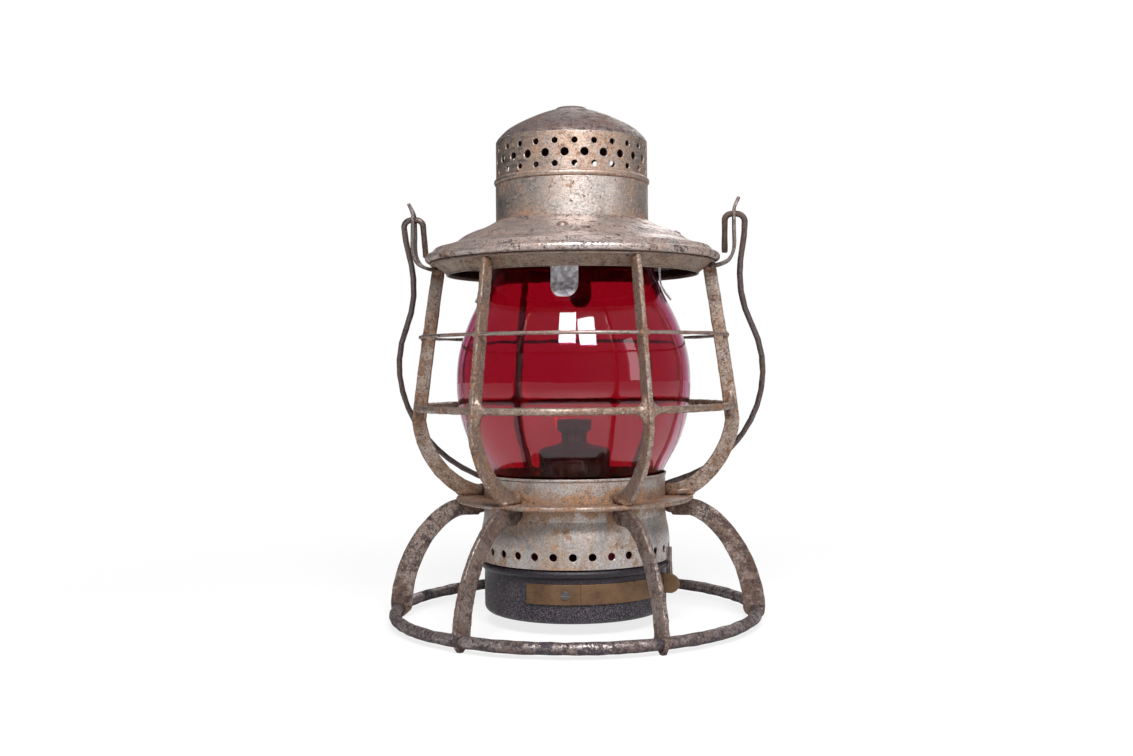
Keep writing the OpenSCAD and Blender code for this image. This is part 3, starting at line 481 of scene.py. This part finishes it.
@dataclass(frozen=True)
class SpeckledPaint:
    """Nearly black paint, glossier above, with a fine light speckle below that fades out above, so
    the upper part is painted darker: painted shade.

    Attributes:
        name: Name of the material.
        coat: Colour of the paint.
        speck: Colour of the specks.
        bare: Colour where the paint is worn.
        gloss_and_shade_z: Height above which the paint turns glossier, and black by painted shade,
            in metres.
        fade: Height over which it turns, in metres.
        fringe: How far the turn is ragged, in metres.
        relief: Depth of the paint's texture, in metres.
    """

    name: str
    coat: Colour = (0.014, 0.011, 0.015)
    speck: Colour = (0.105, 0.09, 0.107)
    bare: Colour = (0.2, 0.175, 0.185)
    gloss_and_shade_z: float = 23.5 * MM
    fade: float = 7 * MM
    fringe: float = 6 * MM
    relief: float = 0.18 * MM

    def material(self) -> bpy.types.Material:
        """Returns the finish as a new material."""
        graph = Graph(self.name)
        fine = graph.noise(scale=1750, detail=3, rough=0.7)
        coarse = graph.noise(scale=500, detail=6, rough=0.7)
        height = graph.math("ADD", graph.split(graph.place)[2],
                            graph.math("MULTIPLY", coarse, self.fringe))
        # Above the turn the paint gets glossier, and its light specks fade out so the upper part is
        # painted darker: painted shade.
        gloss_and_painted_shade = graph.band(height, low=self.gloss_and_shade_z, high=self.gloss_and_shade_z + self.fade)
        worn = graph.total(coarse, 0.6, graph.noise(scale=90, detail=4, rough=0.6), 0.4)
        worn = graph.math("MULTIPLY", graph.band(worn, low=0.56, high=0.66),
                          graph.band(gloss_and_painted_shade, low=0.0, high=1.0, start=0.22, end=0.04))
        specks = graph.math("SUBTRACT", graph.band(fine, low=0.5, high=0.6),
                            graph.math("MULTIPLY", gloss_and_painted_shade, 0.75))
        colour = graph.mix(worn, graph.mix(specks, self.coat, self.speck), self.bare)
        rough = graph.math("SUBTRACT", graph.band(coarse, low=0.3, high=0.7, start=0.4, end=0.58),
                           graph.math("MULTIPLY", gloss_and_painted_shade, 0.16))
        normal = graph.relief(fine, self.relief, graph.rounded(0.4 * MM))
        return graph.surface(Base_Color=colour, Roughness=rough, Metallic=0.1,
                             Specular_IOR_Level=0.32, Normal=normal)


@dataclass(frozen=True)
class OldBrass:
    """Brass sheet that has gone brown, with fine scratches and darker stains.

    Attributes:
        name: Name of the material.
        metal: Colour of the brass.
        stain: Colour of the stains.
        stained: Share of the surface that is stained.
        roughness: Roughness of the clean brass.
        soot: Colour of the fine specks.
        relief: Depth of the scratches, in metres.
    """

    name: str
    metal: Colour
    stain: Colour
    stained: float
    roughness: float
    soot: Colour = (0.03, 0.025, 0.02)
    relief: float = 0.08 * MM

    def material(self) -> bpy.types.Material:
        """Returns the finish as a new material."""
        graph = Graph(self.name)
        cloud = graph.noise(scale=110, detail=7, rough=0.62)
        scratch = graph.noise(scale=700, detail=6, rough=0.7,
                              where=graph.stretched((0.6, 0.6, 2.2)))
        speck = graph.noise(scale=1500, detail=4, rough=0.7)
        stain = graph.cover(graph.total(cloud, 0.6, scratch, 0.4), self.stained, softness=0.32)
        clean = graph.mix(graph.band(scratch, low=0.25, high=0.75), scaled(self.metal, 0.85),
                          scaled(self.metal, 1.12))
        colour = graph.mix(graph.band(speck, low=0.66, high=0.74),
                           graph.mix(stain, clean, self.stain), self.soot)
        rough = graph.band(speck, low=0.3, high=0.7, start=self.roughness - 0.08,
                           end=self.roughness + 0.08)
        rough = graph.math("ADD", rough, graph.math("MULTIPLY", stain, 0.2))
        normal = graph.relief(graph.total(scratch, 0.6, speck, 0.4), self.relief,
                              graph.rounded(0.3 * MM))
        return graph.surface(Base_Color=colour, Roughness=rough, Metallic=0.85, Normal=normal)


@dataclass(frozen=True)
class PressedGlass:
    """One skin of the globe: rose outside, deep red inside.

    Attributes:
        name: Name of the material.
        tint: Colour that light takes at the skin.
        waves: Depth of the moulding's waves, in metres.
    """

    name: str
    tint: Colour
    waves: float = 0.12 * MM

    def material(self) -> bpy.types.Material:
        """Returns the finish as a new material."""
        graph = Graph(self.name)
        dust = graph.noise(scale=300, detail=6, rough=0.7)
        height = graph.total(graph.noise(scale=55, detail=2, rough=0.5), 0.9,
                             graph.noise(scale=240, detail=2, rough=0.5), 0.1)
        colour = graph.mix(graph.band(dust, low=0.45, high=0.75, end=0.12), self.tint,
                           scaled(self.tint, 0.55))
        rough = graph.band(dust, low=0.4, high=0.75, start=0.015, end=0.07)
        return graph.surface(Base_Color=colour, Roughness=rough, IOR=1.5, Transmission_Weight=1.0,
                             Normal=graph.relief(height, self.waves))


@dataclass(frozen=True)
class WovenCotton:
    """Flat woven wick, charred at its upper end.

    Attributes:
        name: Name of the material.
        char_z: Height at which the char starts, in metres.
        fade: Height over which the yarn turns to char, in metres.
        yarn: Colour of the clean yarn.
        char: Colour of the burnt end.
        thread: Distance from one thread to the next, in metres.
        relief: Height of the threads, in metres.
    """

    name: str
    char_z: float
    fade: float = 3 * MM
    yarn: Colour = (0.6, 0.52, 0.38)
    char: Colour = (0.02, 0.018, 0.016)
    thread: float = 0.9 * MM
    relief: float = 0.2 * MM

    def material(self) -> bpy.types.Material:
        """Returns the finish as a new material."""
        graph = Graph(self.name)
        side, _, up = graph.split(graph.place)
        turn = 2 * math.pi / self.thread
        across, along = (graph.math("SINE", graph.math("MULTIPLY", part, turn))
                         for part in (side, up))
        weave = graph.math("MULTIPLY", across, along)
        # The yarn is painted darker where the weave sinks: painted shade between the threads.
        colour = graph.mix(graph.band(weave, low=-1.0, high=1.0), scaled(self.yarn, 0.65),
                           self.yarn)
        burnt = graph.band(up, low=self.char_z, high=self.char_z + self.fade)
        return graph.surface(Base_Color=graph.mix(burnt, colour, self.char), Roughness=0.9,
                             Normal=graph.relief(weave, self.relief))


class Finish(Enum):
    """The finishes of the lantern's pieces."""

    LEG = WornSteel(
        "leg_steel", (0.4, 0.325, 0.29), (0.18, 0.12, 0.095), (0.105, 0.053, 0.034), tarnished=0.5,
        rusted=0.46, pitted=0.3, specked=0.85, roughness=0.4, worn_edges=0.8, relief=0.6 * MM)
    RING = WornSteel(
        "ring_steel", (0.4, 0.35, 0.345), (0.185, 0.138, 0.125), (0.1, 0.06, 0.05), tarnished=0.5,
        rusted=0.4, pitted=0.4, specked=0.8, pit=(0.03, 0.022, 0.03), roughness=0.38,
        worn_edges=0.3, relief=0.6 * MM, seed=0.17)
    RIB = WornSteel(
        "rib_steel", (0.44, 0.36, 0.315), (0.24, 0.16, 0.115), (0.2, 0.1, 0.052), tarnished=0.55,
        rusted=0.4, pitted=0.2, specked=0.7, roughness=0.4, worn_edges=0.75, relief=0.4 * MM,
        seed=0.31)
    WIRE = WornSteel(
        "guard_wire", (0.36, 0.3, 0.28), (0.23, 0.165, 0.14), (0.16, 0.085, 0.06), tarnished=0.5,
        rusted=0.4, pitted=0.25, worn_edges=0.3, seed=0.55)
    COLLAR = WornSteel(
        "collar_sheet", (0.52, 0.49, 0.48), (0.34, 0.25, 0.19), (0.3, 0.15, 0.07), tarnished=0.42,
        rusted=0.26, pitted=0.14, specked=0.3, streak=(0.7, 0.7, 0.25), roughness=0.37,
        rounding=0.4 * MM, relief=0.16 * MM, seed=0.83)
    FLANGE = WornSteel(
        "flange_sheet", (0.42, 0.36, 0.33), (0.28, 0.2, 0.15), (0.24, 0.115, 0.06), tarnished=0.6,
        rusted=0.48, pitted=0.2, specked=0.6, rounding=0.5 * MM, seed=1.21)
    NECK = WornSteel(
        "chimney_sheet", (0.6, 0.537, 0.505), (0.36, 0.27, 0.215), (0.28, 0.14, 0.08),
        tarnished=0.46, rusted=0.24, pitted=0.2, streak=(0.5, 0.5, 3.0), roughness=0.37,
        rounding=0.4 * MM, relief=0.16 * MM, seed=1.67)
    HOOD = WornSteel(
        "hood_sheet", (0.5, 0.43, 0.4), (0.36, 0.25, 0.185), (0.26, 0.13, 0.075), tarnished=0.55,
        rusted=0.3, pitted=0.17, streak=(0.5, 0.5, 2.5), roughness=0.37, rounding=0.45 * MM,
        worn_edges=0.95, relief=0.16 * MM, seed=2.05)
    DOME = WornSteel(
        "dome_sheet", (0.34, 0.28, 0.265), (0.19, 0.135, 0.122), (0.13, 0.072, 0.056),
        tarnished=0.6, rusted=0.42, pitted=0.32, specked=0.8, streak=(0.6, 0.6, 3.0),
        roughness=0.45, rounding=0.4 * MM, worn_edges=0.9, relief=0.4 * MM, seed=2.49)
    BRIM = WornSteel(
        "brim_sheet", (0.6, 0.53, 0.51), (0.4, 0.305, 0.265), (0.22, 0.12, 0.08), tarnished=0.58,
        rusted=0.32, pitted=0.3, specked=0.75, streak=(0.6, 0.6, 3.0), roughness=0.38,
        rounding=0.4 * MM, worn_edges=0.8, relief=0.4 * MM, seed=2.93)
    BAND = WornSteel(
        "band_sheet", (0.38, 0.31, 0.26), (0.26, 0.188, 0.14), (0.18, 0.1, 0.06), tarnished=0.55,
        rusted=0.34, pitted=0.26, pit=(0.045, 0.04, 0.048), roughness=0.42, rounding=0.4 * MM,
        seed=3.37)
    IRON = WornSteel(
        "dark_wire", (0.17, 0.145, 0.138), (0.1, 0.076, 0.068), (0.1, 0.058, 0.042), tarnished=0.6,
        rusted=0.4, pitted=0.22, roughness=0.42, worn_edges=0.15, seed=3.71)
    SOOT = WornSteel(
        "sooty_sheet", (0.08, 0.065, 0.062), (0.045, 0.034, 0.032), (0.07, 0.04, 0.03),
        tarnished=0.6, rusted=0.35, pitted=0.2, roughness=0.6, rounding=0.3 * MM, worn_edges=0.15,
        seed=4.13)
    RIVET = WornSteel(
        "rivet_steel", (0.34, 0.28, 0.26), (0.2, 0.14, 0.12), (0.13, 0.07, 0.05), tarnished=0.6,
        rusted=0.5, pitted=0.2, roughness=0.5, worn_edges=0.1, seed=5.03)
    SCREW = WornSteel(
        "screw_steel", (0.16, 0.15, 0.165), (0.09, 0.08, 0.09), (0.06, 0.045, 0.045),
        tarnished=0.5, rusted=0.2, pitted=0.2, roughness=0.42, rounding=0.2 * MM, worn_edges=0.5,
        seed=4.51)
    ZINC = Spangle("galvanised_tab")
    PAINT = SpeckledPaint("fount_paint")
    STRIP = OldBrass("strip_brass", (0.215, 0.128, 0.072), (0.1, 0.057, 0.036), 0.42, 0.4)
    BURNER = OldBrass("burner_brass", (0.1, 0.07, 0.05), (0.035, 0.024, 0.022), 0.6, 0.5)
    PALE = PressedGlass("pale_skin", (0.4, 0.08, 0.17))
    RUBY = PressedGlass("ruby_skin", (0.66, 0.022, 0.052))


class Shelf:
    """Holds each finish's material once it has been made."""

    def __init__(self) -> None:
        """Starts with no materials."""
        self.made: dict[Finish, bpy.types.Material] = {}

    def take(self, finish: Finish) -> bpy.types.Material:
        """Returns the material of a finish, made at its first use.

        Args:
            finish: The finish.
        """
        if finish not in self.made:
            self.made[finish] = finish.value.material()
        return self.made[finish]

    def dress(self, nodes: Sequence[str], finish: Finish) -> None:
        """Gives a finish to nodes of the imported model.

        Args:
            nodes: Names of the nodes.
            finish: The finish.
        """
        for name in nodes:
            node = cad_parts[name]
            if not node.material_slots:
                node.data.materials.append(None)
            for place in node.material_slots:
                place.material = self.take(finish)
            LOG.info("%s dressed as %s", name, finish.name)


@dataclass
class Worn:
    """Turns a sharp CAD piece into one with rounded edges, dents and solder.

    Attributes:
        shelf: Where materials come from.
        voxel: Size of the new mesh's faces, in metres.
        rounding: Rounds of smoothing.
        smoothing: How far each round moves a point towards its neighbours' middle, from 0 to 1.
        dent: Depth of the dents, in metres.
        dent_size: Size of the dents, in metres.
    """

    shelf: Shelf
    voxel: float = 0.4 * MM
    rounding: int = 6
    smoothing: float = 0.5
    dent: float = 0.14 * MM
    dent_size: float = 4.5 * MM

    def copy(self, node: str, finish: Finish, slot: str, body: str, name: str,
             solder: Sequence[tuple[Vector, Vector]] = ()) -> None:
        """Makes the piece that stands for a node.

        Args:
            node: Name of the node.
            finish: Its finish.
            slot: Name of its material slot in the record; not used.
            body: The body that it rides on.
            name: Name of the new piece.
            solder: Place and half sizes of each lump of solder on it.
        """
        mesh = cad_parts[node].data.copy()
        mesh.materials.clear()
        shape = bmesh.new()
        shape.from_mesh(mesh)
        bmesh.ops.remove_doubles(shape, verts=shape.verts, dist=WELD)
        for centre, half in solder:
            turn = Matrix.Rotation(math.atan2(centre.y, centre.x), 4, "Z")
            place = Matrix.Translation(centre) @ turn @ Matrix.Diagonal((*half, 1.0))
            bmesh.ops.create_icosphere(shape, subdivisions=3, radius=1.0, matrix=place)
        shape.to_mesh(mesh)
        shape.free()
        piece = bpy.data.objects.new(name, mesh)
        bpy.context.scene.collection.objects.link(piece)
        self._reshape(piece)
        piece.data.materials.append(self.shelf.take(finish))
        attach(piece, body)
        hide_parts(node)
        LOG.info("%s: %d faces", name, len(piece.data.polygons))

    def _reshape(self, piece: bpy.types.Object) -> None:
        """Rebuilds a piece's mesh in even faces, rounds its edges and dents it.

        Args:
            piece: The piece.
        """
        remesh = piece.modifiers.new("even", "REMESH")
        remesh.mode = "VOXEL"
        remesh.voxel_size = self.voxel
        smooth = piece.modifiers.new("round", "SMOOTH")
        smooth.factor = self.smoothing
        smooth.iterations = self.rounding
        bpy.context.view_layer.update()
        evaluated = piece.evaluated_get(bpy.context.evaluated_depsgraph_get())
        shaped = bpy.data.meshes.new_from_object(evaluated)
        piece.modifiers.clear()
        old = piece.data
        piece.data = shaped
        shaped.name = old.name
        bpy.data.meshes.remove(old)
        directions = [vertex.normal.copy() for vertex in shaped.vertices]
        for vertex, direction in zip(shaped.vertices, directions):
            vertex.co += direction * noise.noise(vertex.co / self.dent_size) * self.dent
        shaped.shade_smooth()


@dataclass
class Cage:
    """The ironwork: base ring, legs, ribs, guard wires and ears.

    Attributes:
        shelf: Where materials come from.
        flange_z: Height of the flange's middle, in metres.
        flange_r: Radius of the flange's edge, in metres.
    """

    shelf: Shelf
    flange_z: float = field(init=False)
    flange_r: float = field(init=False)

    def __post_init__(self) -> None:
        """Reads the flange's place from the frame."""
        low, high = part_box("flange_plate")
        self.flange_z = (low[2] + high[2]) / 2
        self.flange_r = high[0]

    @staticmethod
    def lump(number: int, radius: float, height: float, half: Size) -> tuple[Vector, Vector]:
        """Returns the place and half sizes of a lump of solder on a bar.

        Args:
            number: Number of the bar, counted from the front towards +X.
            radius: Distance of its middle from the axis, in metres.
            height: Height of its middle, in metres.
            half: Half sizes outwards, sideways and upwards, in millimetres.
        """
        angle = math.radians((number - 0.5) * BAR_STEP + FRONT)
        place = Vector((radius * math.cos(angle), radius * math.sin(angle), height))
        return place, Vector(half) * MM

    @staticmethod
    def wire(node: str) -> tuple[float, float, float]:
        """Returns a round wire's centre radius, height and half thickness.

        Args:
            node: Name of the wire's node.
        """
        low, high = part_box(node)
        half = (high[2] - low[2]) / 2
        return high[0] - half, (high[2] + low[2]) / 2, half

    def build(self) -> None:
        """Makes all the ironwork."""
        self._legs()
        self._ribs()
        self._wires()
        self._ears()

    def _legs(self) -> None:
        """Makes the legs with solder under the flange and round the ring."""
        ring_r, ring_z, rod = self.wire("base_ring")
        edge, plate = self.flange_r, self.flange_z
        worn = Worn(self.shelf, dent=0.2 * MM)
        for number in BAR_NUMBERS:
            solder = [
                self.lump(number, edge - 5 * MM, plate - 1.6 * MM, (4.5, 2.8, 1.4)),
                self.lump(number, edge - 11.2 * MM, plate - 4.2 * MM, (3.0, 2.2, 3.4)),
                self.lump(number, ring_r, ring_z + rod * 0.95, (3.4, 2.7, 1.3)),
            ]
            worn.copy(f"leg_{number}", Finish.LEG, "tinned_steel", "frame",
                      f"leg_{number}_bar", solder)

    def _ribs(self) -> None:
        """Makes the ribs with solder on the flange, at both wires and under the band."""
        low_r, low_z, low_half = self.wire("lower_guard_wire")
        up_r, up_z, up_half = self.wire("upper_guard_wire")
        thick, thin = low_half / MM, up_half / MM
        edge, plate = self.flange_r, self.flange_z
        band_r, band_z = 65 * MM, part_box("top_band")[1][2]
        worn = Worn(self.shelf, dent=0.16 * MM)
        for number in BAR_NUMBERS:
            solder = [
                self.lump(number, edge - 4 * MM, plate + 1.8 * MM, (5.0, 3.0, 1.6)),
                self.lump(number, edge - 11.4 * MM, plate + 3.4 * MM, (2.6, 2.2, 3.2)),
                self.lump(number, low_r, low_z, (2.3, 8.2, thick + 0.6)),
                self.lump(number, low_r, low_z, (2.4, 5.8, thick + 2.0)),
                self.lump(number, low_r, low_z, (2.4, 4.3, thick + 3.6)),
                self.lump(number, low_r, low_z, (2.3, 3.3, thick + 5.6)),
                self.lump(number, up_r, up_z, (1.6, 3.2, thin + 0.7)),
                self.lump(number, band_r, band_z - 2.4 * MM, (2.8, 2.2, 1.6)),
            ]
            worn.copy(f"rib_{number}", Finish.RIB, "tinned_steel", "frame",
                      f"rib_{number}_bar", solder)

    def _wires(self) -> None:
        """Makes the base ring and the two guard wires."""
        Worn(self.shelf, voxel=0.45 * MM, dent=0.3 * MM, dent_size=6 * MM).copy(
            "base_ring", Finish.RING, "tinned_steel", "frame", "base_ring_rod")
        Worn(self.shelf, rounding=4, dent=0.2 * MM).copy(
            "lower_guard_wire", Finish.RIB, "tinned_steel", "frame", "lower_guard_rod")
        Worn(self.shelf, voxel=0.28 * MM, rounding=3, dent=0.2 * MM, dent_size=9 * MM).copy(
            "upper_guard_wire", Finish.WIRE, "tinned_steel", "frame", "upper_guard_rod")

    def _ears(self) -> None:
        """Makes the ears and the bail."""
        for side in ("left", "right"):
            Worn(self.shelf, voxel=0.22 * MM, rounding=5, dent=0.08 * MM).copy(
                f"bail_ear_{side}", Finish.IRON, "dark_iron", "frame", f"ear_{side}_strip")
        Worn(self.shelf, voxel=0.32 * MM, rounding=5, dent_size=5 * MM).copy(
            "bail", Finish.IRON, "dark_iron", "bail", "bail_wire")


@dataclass
class RedGlobe:
    """The barrel globe with a rose outer skin and a red inner skin.

    Attributes:
        shelf: Where materials come from.
        wall: Thickness of the glass, in metres.
        turns: Steps round the globe.
        weld: Distance within which points are joined, in metres.
        outline: Radius and height of points up the outer skin, as shares of the whole.
    """

    shelf: Shelf
    wall: float = 3 * MM
    turns: int = 144
    weld: float = 0.01 * MM
    outline: tuple[tuple[float, float], ...] = (
        (0.735, 0.0), (0.735, 0.03), (0.735, 0.06), (0.785, 0.107), (0.9, 0.2), (0.978, 0.318),
        (1.0, 0.437), (0.972, 0.548), (0.885, 0.66), (0.775, 0.76), (0.712, 0.835), (0.703, 0.89),
        (0.703, 0.95), (0.703, 1.0))

    def build(self) -> None:
        """Makes the globe."""
        low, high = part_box("globe")
        radius = high[0]
        height = high[2] - low[2]
        points = [Vector((r * radius, 0.0, low[2] + z * height)) for r, z in self.outline]
        outer = self._curve(points)
        inner = self._inside(outer)
        shape = bmesh.new()
        loop = [shape.verts.new(p) for p in outer + inner[::-1]]
        edges = [shape.edges.new(ends) for ends in zip(loop, loop[1:] + loop[:1])]
        bmesh.ops.spin(shape, geom=loop + edges, axis=(0, 0, 1), cent=(0, 0, 0),
                       angle=2 * math.pi, steps=self.turns, use_merge=True)
        bmesh.ops.remove_doubles(shape, verts=shape.verts, dist=self.weld)
        bmesh.ops.recalc_face_normals(shape, faces=shape.faces)
        mesh = bpy.data.meshes.new("globe_glass")
        for face in shape.faces:
            centre = face.calc_center_median()
            face.material_index = int(face.normal.dot(Vector((centre.x, centre.y, 0))) < 0)
            face.smooth = True
        shape.to_mesh(mesh)
        shape.free()
        piece = bpy.data.objects.new("globe_glass", mesh)
        bpy.context.scene.collection.objects.link(piece)
        mesh.materials.append(self.shelf.take(Finish.PALE))
        mesh.materials.append(self.shelf.take(Finish.RUBY))
        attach(piece, "frame")
        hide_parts("globe")
        LOG.info("globe_glass: %d faces", len(mesh.polygons))

    @staticmethod
    def _curve(points: Sequence[Vector], steps: int = 5) -> list[Vector]:
        """Returns a smooth curve through points.

        Args:
            points: The points.
            steps: Steps between each two.
        """
        curve = []
        for index in range(len(points) - 1):
            a = points[max(0, index - 1)]
            b, c = points[index], points[index + 1]
            d = points[min(len(points) - 1, index + 2)]
            for step in range(steps):
                t = step / steps
                curve.append(0.5 * (2 * b + (c - a) * t + (2 * a - 5 * b + 4 * c - d) * t * t
                                    + (3 * b - a - 3 * c + d) * t ** 3))
        return curve + [points[-1]]

    def _inside(self, outer: Sequence[Vector]) -> list[Vector]:
        """Returns the inner line of the wall.

        Args:
            outer: The outer line, from the foot up.
        """
        inner = []
        for index, point in enumerate(outer):
            along = outer[min(index + 1, len(outer) - 1)] - outer[max(index - 1, 0)]
            inner.append(point + Vector((-along.z, 0.0, along.x)).normalized() * self.wall)
        return inner


@dataclass(frozen=True)
class Lamp:
    """A soft rectangular lamp that faces the lantern.

    Attributes:
        name: Name of the lamp.
        place: Where its middle is, in metres.
        size: Its width and height, in metres.
        power: Its power, in watts.
    """

    name: str
    place: tuple[float, float, float]
    size: tuple[float, float]
    power: float

    def build(self, aim: Vector) -> None:
        """Makes the lamp.

        Args:
            aim: The place that it faces.
        """
        data = bpy.data.lights.new(self.name, "AREA")
        data.shape = "RECTANGLE"
        data.size, data.size_y = self.size
        data.energy = self.power
        lamp = bpy.data.objects.new(self.name, data)
        lamp.location = self.place
        lamp.rotation_euler = (aim - Vector(self.place)).to_track_quat("-Z", "Y").to_euler()
        bpy.context.scene.collection.objects.link(lamp)


@dataclass
class Studio:
    """The pale floor, the lamps and the camera at the photograph's viewing angle.

    Attributes:
        distance: Distance of the camera from the lantern's axis, in metres.
        height: Height of the camera, in metres.
        azimuth: Angle of the camera round the lantern, in degrees.
        roll: Turn of the camera about its own axis, in degrees.
        focal_px: Focal length in pixels of the photograph.
        image: Width and height of the photograph, in pixels.
        axis_x: Pixel column of the lantern's axis.
        horizon_y: Pixel row of the horizon.
        sensor: Width of the camera's sensor, in millimetres.
        near: Distance at which the camera starts to see, in metres.
        floor_half: Half the floor's width, in metres.
        floor_colour: Colour of the floor where the lamps light it.
        floor_white: Share of plain white that the camera sees near the lantern.
        floor_white_from: Distance from the axis at which that share starts to rise to 1.
        floor_white_to: Distance from the axis at which it is 1.
        floor_mirrored: Share of plain white in the floor that metal mirrors.
        aim: The place that the lamps face.
        lamps: Two panes in front, weak sides and one behind.
    """

    distance: float = 0.605
    height: float = 0.1211
    azimuth: float = 5.0
    roll: float = -0.55
    focal_px: float = 1257.0
    image: tuple[int, int] = (1133, 756)
    axis_x: float = 573.5
    horizon_y: float = 367.0
    sensor: float = 36.0
    near: float = 0.01
    floor_half: float = 6.0
    floor_colour: Colour = (0.86, 0.86, 0.86)
    floor_white: float = 0.8
    floor_white_from: float = 0.13
    floor_white_to: float = 0.4
    floor_mirrored: float = 0.32
    aim: tuple[float, float, float] = (0.0, 0.0, 0.13)
    lamps: tuple[Lamp, ...] = (
        Lamp("key_left", (-0.02, -0.68, 0.74), (0.24, 0.36), 7.5),
        Lamp("key_right", (0.26, -0.68, 0.68), (0.24, 0.28), 6.0),
        Lamp("fill_left", (-0.85, -0.75, 0.3), (0.12, 0.5), 0.08),
        Lamp("fill_right", (0.95, -0.45, 0.4), (0.2, 0.6), 1.2),
        Lamp("rear", (0.2, 0.9, 0.8), (0.6, 0.5), 3.5),
    )

    def build(self) -> None:
        """Makes the whole studio."""
        scene = bpy.context.scene
        scene.view_settings.view_transform = "Standard"
        self._camera(scene)
        self._floor(scene)
        self._world(scene)
        for lamp in self.lamps:
            lamp.build(Vector(self.aim))

    def _camera(self, scene: bpy.types.Scene) -> None:
        """Places the camera.

        Args:
            scene: The scene.
        """
        width, height = self.image
        data = bpy.data.cameras.new("camera")
        data.sensor_width = self.sensor
        data.lens = self.focal_px / width * self.sensor
        data.shift_x = -(self.axis_x - width / 2) / width
        data.shift_y = -(height / 2 - self.horizon_y) / width
        data.clip_start = self.near
        camera = bpy.data.objects.new("camera", data)
        angle = math.radians(self.azimuth)
        camera.location = (self.distance * math.sin(angle), -self.distance * math.cos(angle),
                           self.height)
        upright = Matrix.Rotation(angle, 4, "Z") @ Matrix.Rotation(math.pi / 2, 4, "X")
        roll = Matrix.Rotation(math.radians(self.roll), 4, "Z")
        camera.rotation_euler = (upright @ roll).to_euler()
        scene.collection.objects.link(camera)
        scene.camera = camera

    def _floor(self, scene: bpy.types.Scene) -> None:
        """Makes the pale floor, which shows nearly white and keeps the shadow.

        Args:
            scene: The scene.
        """
        shape = bmesh.new()
        bmesh.ops.create_grid(shape, x_segments=1, y_segments=1, size=self.floor_half)
        mesh = bpy.data.meshes.new("floor")
        shape.to_mesh(mesh)
        shape.free()
        floor = bpy.data.objects.new("floor", mesh)
        scene.collection.objects.link(floor)
        mesh.materials.append(self._floor_finish())

    def _floor_finish(self) -> bpy.types.Material:
        """Returns the floor's finish, part of which shows as plain white to camera and metal."""
        graph = Graph("floor_white")
        cloth = graph.nodes.new("ShaderNodeBsdfDiffuse")
        graph.feed(cloth, {"Color": self.floor_colour})
        away = graph.nodes.new("ShaderNodeVectorMath")
        away.operation = "LENGTH"
        graph.feed(away, {0: graph.place})
        share = graph.band(away.outputs["Value"], low=self.floor_white_from,
                           high=self.floor_white_to, start=self.floor_white)
        seen, mirrored = graph.rays()
        plain = graph.math("MAXIMUM", graph.math("MULTIPLY", seen, share),
                           graph.math("MULTIPLY", mirrored, self.floor_mirrored))
        white = graph.nodes.new("ShaderNodeEmission")
        both = graph.nodes.new("ShaderNodeMixShader")
        graph.feed(both, {0: plain, 1: cloth.outputs["BSDF"], 2: white.outputs["Emission"]})
        graph.feed(graph.output, {"Surface": both.outputs["Shader"]})
        return graph.owner

    @staticmethod
    def _world(scene: bpy.types.Scene) -> None:
        """Makes surroundings that show white, and light the lantern as a dim room does.

        The room has a white back wall, a grey ceiling and a paler right side.

        Args:
            scene: The scene.
        """
        graph = Graph("studio", world=True)
        side, back, up = graph.split(graph.place)
        wall = graph.band(back, low=0.82, high=0.99, end=0.8)
        ceiling = graph.band(up, low=0.25, high=0.95, end=0.3)
        right = graph.band(side, low=-0.3, high=0.9, start=0.02, end=0.17)
        room = graph.math("ADD", graph.math("MAXIMUM", wall, ceiling), right)
        light = graph.nodes.new("ShaderNodeBackground")
        seen, _ = graph.rays()
        graph.feed(light, {"Color": WHITE, "Strength": graph.math("MAXIMUM", seen, room)})
        graph.feed(graph.output, {"Surface": light.outputs["Background"]})
        scene.world = graph.owner


def dress_sheet(shelf: Shelf) -> None:
    """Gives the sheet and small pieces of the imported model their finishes.

    Args:
        shelf: Where materials come from.
    """
    for finish, nodes in (
            (Finish.COLLAR, ("collar", "globe_seat_ring")),
            (Finish.FLANGE, ("flange_plate",)),
            (Finish.NECK, ("chimney_neck", "lid_skirt")),
            (Finish.HOOD, ("vent_hood",)),
            (Finish.DOME, ("dome_cap", "catch_lug")),
            (Finish.BRIM, ("lid_brim", "hinge_leaf_lid", "hinge_leaf_frame")),
            (Finish.RIVET, ("brim_rivets",)),
            (Finish.BAND, ("top_band",)),
            (Finish.IRON, ("hinge_pin",)),
            (Finish.SCREW, ("latch_screw",)),
            (Finish.SOOT, ("draft_cone",)),
            (Finish.ZINC, ("globe_tabs",)),
            (Finish.PAINT, ("fount_shell", "fount_top_plate")),
            (Finish.STRIP, ("latch_anchor", "latch_strip")),
            (Finish.BURNER, ("burner_collar", "burner_body", "burner_cone", "wick_tube",
                             "wick_shaft", "wick_knob"))):
        shelf.dress(nodes, finish)
    cotton = WovenCotton("wick_cotton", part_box("wick")[1][2] - CHARRED).material()
    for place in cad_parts["wick"].material_slots:
        place.material = cotton


def main() -> None:
    """Builds the lantern and its studio."""
    logging.basicConfig(level=logging.INFO, format="%(message)s")
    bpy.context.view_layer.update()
    shelf = Shelf()
    dress_sheet(shelf)
    Cage(shelf).build()
    RedGlobe(shelf).build()
    Studio().build()
    bpy.context.view_layer.update()


if __name__ == "__main__":
    main()
